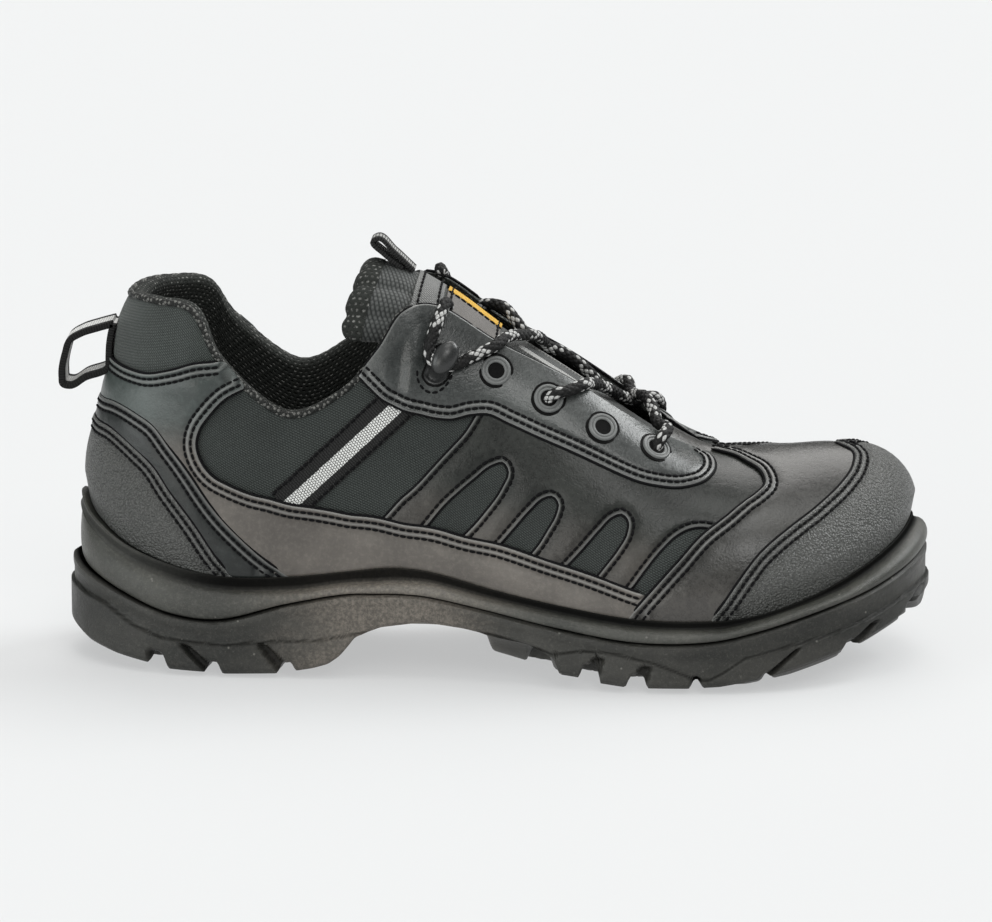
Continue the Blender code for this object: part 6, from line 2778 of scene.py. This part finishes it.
def round_stud(side: Side) -> tuple[Over, ...]:
    """The lace on a facing: down past the stud, under its head and on towards the throat.

    Args:
        side: Side of the shoe.

    Returns:
        Places of the lace in order.
    """
    places = (
        (130.4, 124.4, 3.6), (128.8, 120.0, 4.2), (127.4, 116.2, 4.5), (127.6, 112.6, 4.6),
        (130.0, 109.8, 4.6), (134.4, 109.2, 4.5), (138.4, 109.8, 4.3), (141.5, 111.2, 4.3),
        (145.6, 112.7, 4.3), (149.8, 114.4, 4.4),
    )
    return tuple(Over((x, z), lift, side) for x, z, lift in places)


@dataclass
class Lace:
    """One braided lace: round the studs, over the tongue and through the second and fourth eyelets."""

    radius: float = 2.15
    step: float = 0.35
    from_outer_stud: Route = (
        (134.4, -15.5, 127.0), (133.8, -18.6, 130.2), *round_stud(OUT), (154.9, -17.0, 117.9),
        (159.8, -8.0, 116.8), (164.6, 2.0, 114.2), (166.8, 10.0, 110.0), (168.4, 15.5, 104.5),
    )
    from_inner_stud: Route = (
        (131.0, 12.5, 134.0), (129.4, 17.4, 135.2), *round_stud(IN)[:7], (145.0, 18.6, 122.0),
        (152.0, 13.6, 122.2), (157.1, 9.5, 117.6), (160.7, 7.8, 113.6), (164.6, 8.8, 110.6),
        (171.2, 12.0, 107.4), (178.6, 14.6, 102.2), (184.4, 15.6, 96.2), (188.6, 17.6, 90.0),
    )
    outer_crossing: Route = (
        Over((169.5, 97.2), -3.0, OUT), Over((169.6, 97.3), 1.4, OUT), Over((171.2, 97.8), 4.4, OUT),
        Over((176.1, 98.4), 4.6, OUT), Over((180.2, 99.4), 4.5, OUT), (184.4, -15.0, 101.2),
        (188.8, -4.0, 97.4), (194.1, 7.0, 92.0), (197.2, 13.4, 89.4), Over((203.0, 84.8), 4.8, IN),
        Over((205.8, 81.0), 4.6, IN), Over((206.4, 79.3), 1.6, IN), Over((206.5, 79.0), -3.0, IN),
    )
    inner_crossing: Route = (
        Over((188.5, 87.0), -3.0, IN), Over((188.6, 87.1), 1.4, IN), Over((190.0, 88.4), 4.6, IN),
        Over((193.6, 90.4), 4.6, IN), (197.6, 15.0, 91.4), (200.4, 8.4, 92.0), (203.0, 1.0, 93.0),
        (206.2, -6.6, 89.6), (207.8, -12.0, 86.4), Over((208.0, 82.0), 5.0, OUT),
        Over((207.0, 80.0), 4.4, OUT), Over((206.5, 79.1), 1.4, OUT), Over((206.5, 79.0), -3.0, OUT),
    )

    def build(self) -> None:
        """Makes the four strands and joins each pair."""
        upper = [self._strand("outer", self.from_outer_stud), self._strand("inner", self.from_inner_stud)]
        keep(Bench.join("lace_upper", upper), CORD, "lace_upper_crossing")
        lower = [self._strand("outer", self.outer_crossing), self._strand("inner", self.inner_crossing)]
        keep(Bench.join("lace_lower", lower), CORD, "lace_lower_crossing")

    def _strand(self, name: str, route: Route) -> Piece:
        """A round braid along a smooth line.

        Args:
            name: Name of the new object.
            route: Stops of the lace.

        Returns:
            The strand.
        """
        points = [stop.point() if isinstance(stop, Over) else np.array(stop) for stop in route]
        line = to_frame(smooth_line(points, self.step))
        return Bench.tube(f"strand_{name}", line, self.radius * MM, 24, self._braid)

    @staticmethod
    def _braid(along: Array, angle: Array) -> Array:
        """Relief of the crossing threads.

        Args:
            along: Lengths in metres.
            angle: Angles round the cord.

        Returns:
            Factors on the radius.
        """
        pairs, turns = 2 * along / CORD.pitch, CORD.strands / 2 * angle / (2 * np.pi)
        up, down = (np.abs(np.sin(np.pi * (pairs + way * turns))) for way in (1, -1))
        return 0.93 + 0.10 * up * down


@dataclass
class VampTab:
    """The end of the vamp that runs back between the facings, under the lace."""

    rows: tuple[Point, ...] = (
        (238.0, 9.0, 74.2), (230.0, 9.5, 75.1), (224.0, 9.0, 76.6), (218.0, 8.5, 79.4), (212.0, 8.0, 82.8),
    )
    drop: float = 2.6
    middle: float = 0.5
    thickness: float = 1.2

    def build(self) -> None:
        """Makes the tab as a crowned tongue of leather."""
        rows = np.array(self.rows)
        knots = chord(rows[:, [0, 2]])
        at = np.linspace(0, knots[-1], 30)
        x, half, z = through(rows, at, knots).T
        across = np.linspace(-1, 1, 25)
        y, z = self.middle + half[:, None] * across, z[:, None] - self.drop * across**2
        points = np.stack(np.broadcast_arrays(x[:, None], y, z), axis=-1)
        places = np.stack(np.broadcast_arrays(at[:, None], 10 * across[None]), axis=-1)
        obj = Bench.sheet("vamp_tab", to_frame(points), places * MM)
        Bench.mark(obj, "edge", np.zeros(len(obj.data.vertices)))
        Bench.thicken(Bench.face_along(obj, UP), self.thickness * MM)
        keep(Bench.smooth(obj, 50), VAMP_LEATHER)


@dataclass(frozen=True)
class Lamp:
    """A broad light far away; its bearing turns from the camera's side towards the toe."""

    name: str
    bearing: float
    height: float
    spread: float
    power: float
    colour: Colour

    def towards(self) -> Vector:
        """The direction from the shoe to the light."""
        b, h = math.radians(self.bearing), math.radians(self.height)
        return Vector((math.sin(b) * math.cos(h), -math.cos(b) * math.cos(h), math.sin(h)))

    def build(self) -> None:
        """Hangs the light."""
        data = bpy.data.lights.new(self.name, "SUN")
        data.angle = math.radians(self.spread)
        data.energy = self.power
        data.color = self.colour
        lamp = Bench.add(self.name, data)
        lamp.location = self.towards()
        lamp.rotation_euler = (-self.towards()).to_track_quat("-Z", "Y").to_euler()


@dataclass
class Studio:
    """Pale floor, soft light and the camera at the photograph's angle."""

    azimuth: float = 3.0
    elevation: float = 13.0
    distance: float = 2.4
    pixels_per_mm: float = 2.822
    frame_width: int = 992
    sensor: float = 36.0
    target: Point = (150.1, 0.0, 69.3)
    ambient: float = 0.16
    sky: Colour = (0.96, 0.98, 1.0)
    floor_size: float = 24.0
    far: float = 50.0
    lamps: tuple[Lamp, ...] = (
        Lamp("overhead", 0.0, 88.0, 100.0, 0.75, (1.0, 1.0, 0.97)),
        Lamp("high_front", 25.0, 74.0, 32.0, 0.7, (1.0, 1.0, 0.98)),
        Lamp("top_front", 16.0, 38.0, 22.0, 0.6, (1.0, 1.0, 0.98)),
        Lamp("low_front", -22.0, 10.0, 26.0, 0.5, (1.0, 0.99, 0.95)),
        Lamp("behind", 178.0, 50.0, 44.0, 1.2, (1.0, 0.98, 0.96)),
        Lamp("behind_toe", 114.0, 38.0, 36.0, 2.4, (0.98, 1.0, 1.0)),
        Lamp("heel_side", -60.0, 8.0, 44.0, 1.45, (0.96, 1.0, 0.99)),
    )

    def build(self) -> None:
        """Sets camera, floor and lights."""
        self._camera()
        self._floor()
        self._lights()

    def _camera(self) -> None:
        """A long lens, so that near and far edges keep the photograph's scale."""
        a, e = math.radians(self.azimuth), math.radians(self.elevation)
        away = Vector((math.sin(a) * math.cos(e), -math.cos(a) * math.cos(e), math.sin(e)))
        target = Vector(to_frame(np.array(self.target)))
        data = bpy.data.cameras.new("camera")
        data.sensor_width = self.sensor
        data.lens = self.pixels_per_mm / MM * self.distance * self.sensor / self.frame_width
        data.clip_end = self.far
        camera = Bench.add("camera", data)
        camera.location = target + away * self.distance
        camera.rotation_euler = (-away).to_track_quat("-Z", "Y").to_euler()
        bpy.context.scene.camera = camera

    def _floor(self) -> None:
        """A wide floor that fills the view."""
        Bench.clear()
        bpy.ops.mesh.primitive_grid_add(x_subdivisions=4, y_subdivisions=4, size=self.floor_size)
        floor = bpy.context.object
        floor.name = floor.data.name = "studio_floor"
        floor.data.materials.append(FLOOR.make())

    def _lights(self) -> None:
        """An even sky, a broad soft light overhead and narrower ones for the sheen."""
        scene = bpy.context.scene
        scene.view_settings.view_transform = "Standard"
        world = bpy.data.worlds.new("studio")
        scene.world = world
        world.use_nodes = True
        backdrop = world.node_tree.nodes["Background"]
        backdrop.inputs["Color"].default_value = (*self.sky, 1.0)
        backdrop.inputs["Strength"].default_value = self.ambient
        for lamp in self.lamps:
            lamp.build()


def main() -> None:
    """Builds the shoe piece by piece; each piece logs its count of triangles."""
    logging.basicConfig(level=logging.INFO, format="%(message)s")
    Studio().build()
    Lace().build()
    UpperShell().build()
    for panel in PANELS:
        panel.build()
    VampTab().build()
    BrightTape().build()
    Tongue().build()
    HeelLoop().build()
    Fittings().build()
    Sole().build()
    SEWING.build()


if __name__ == "__main__":
    main()
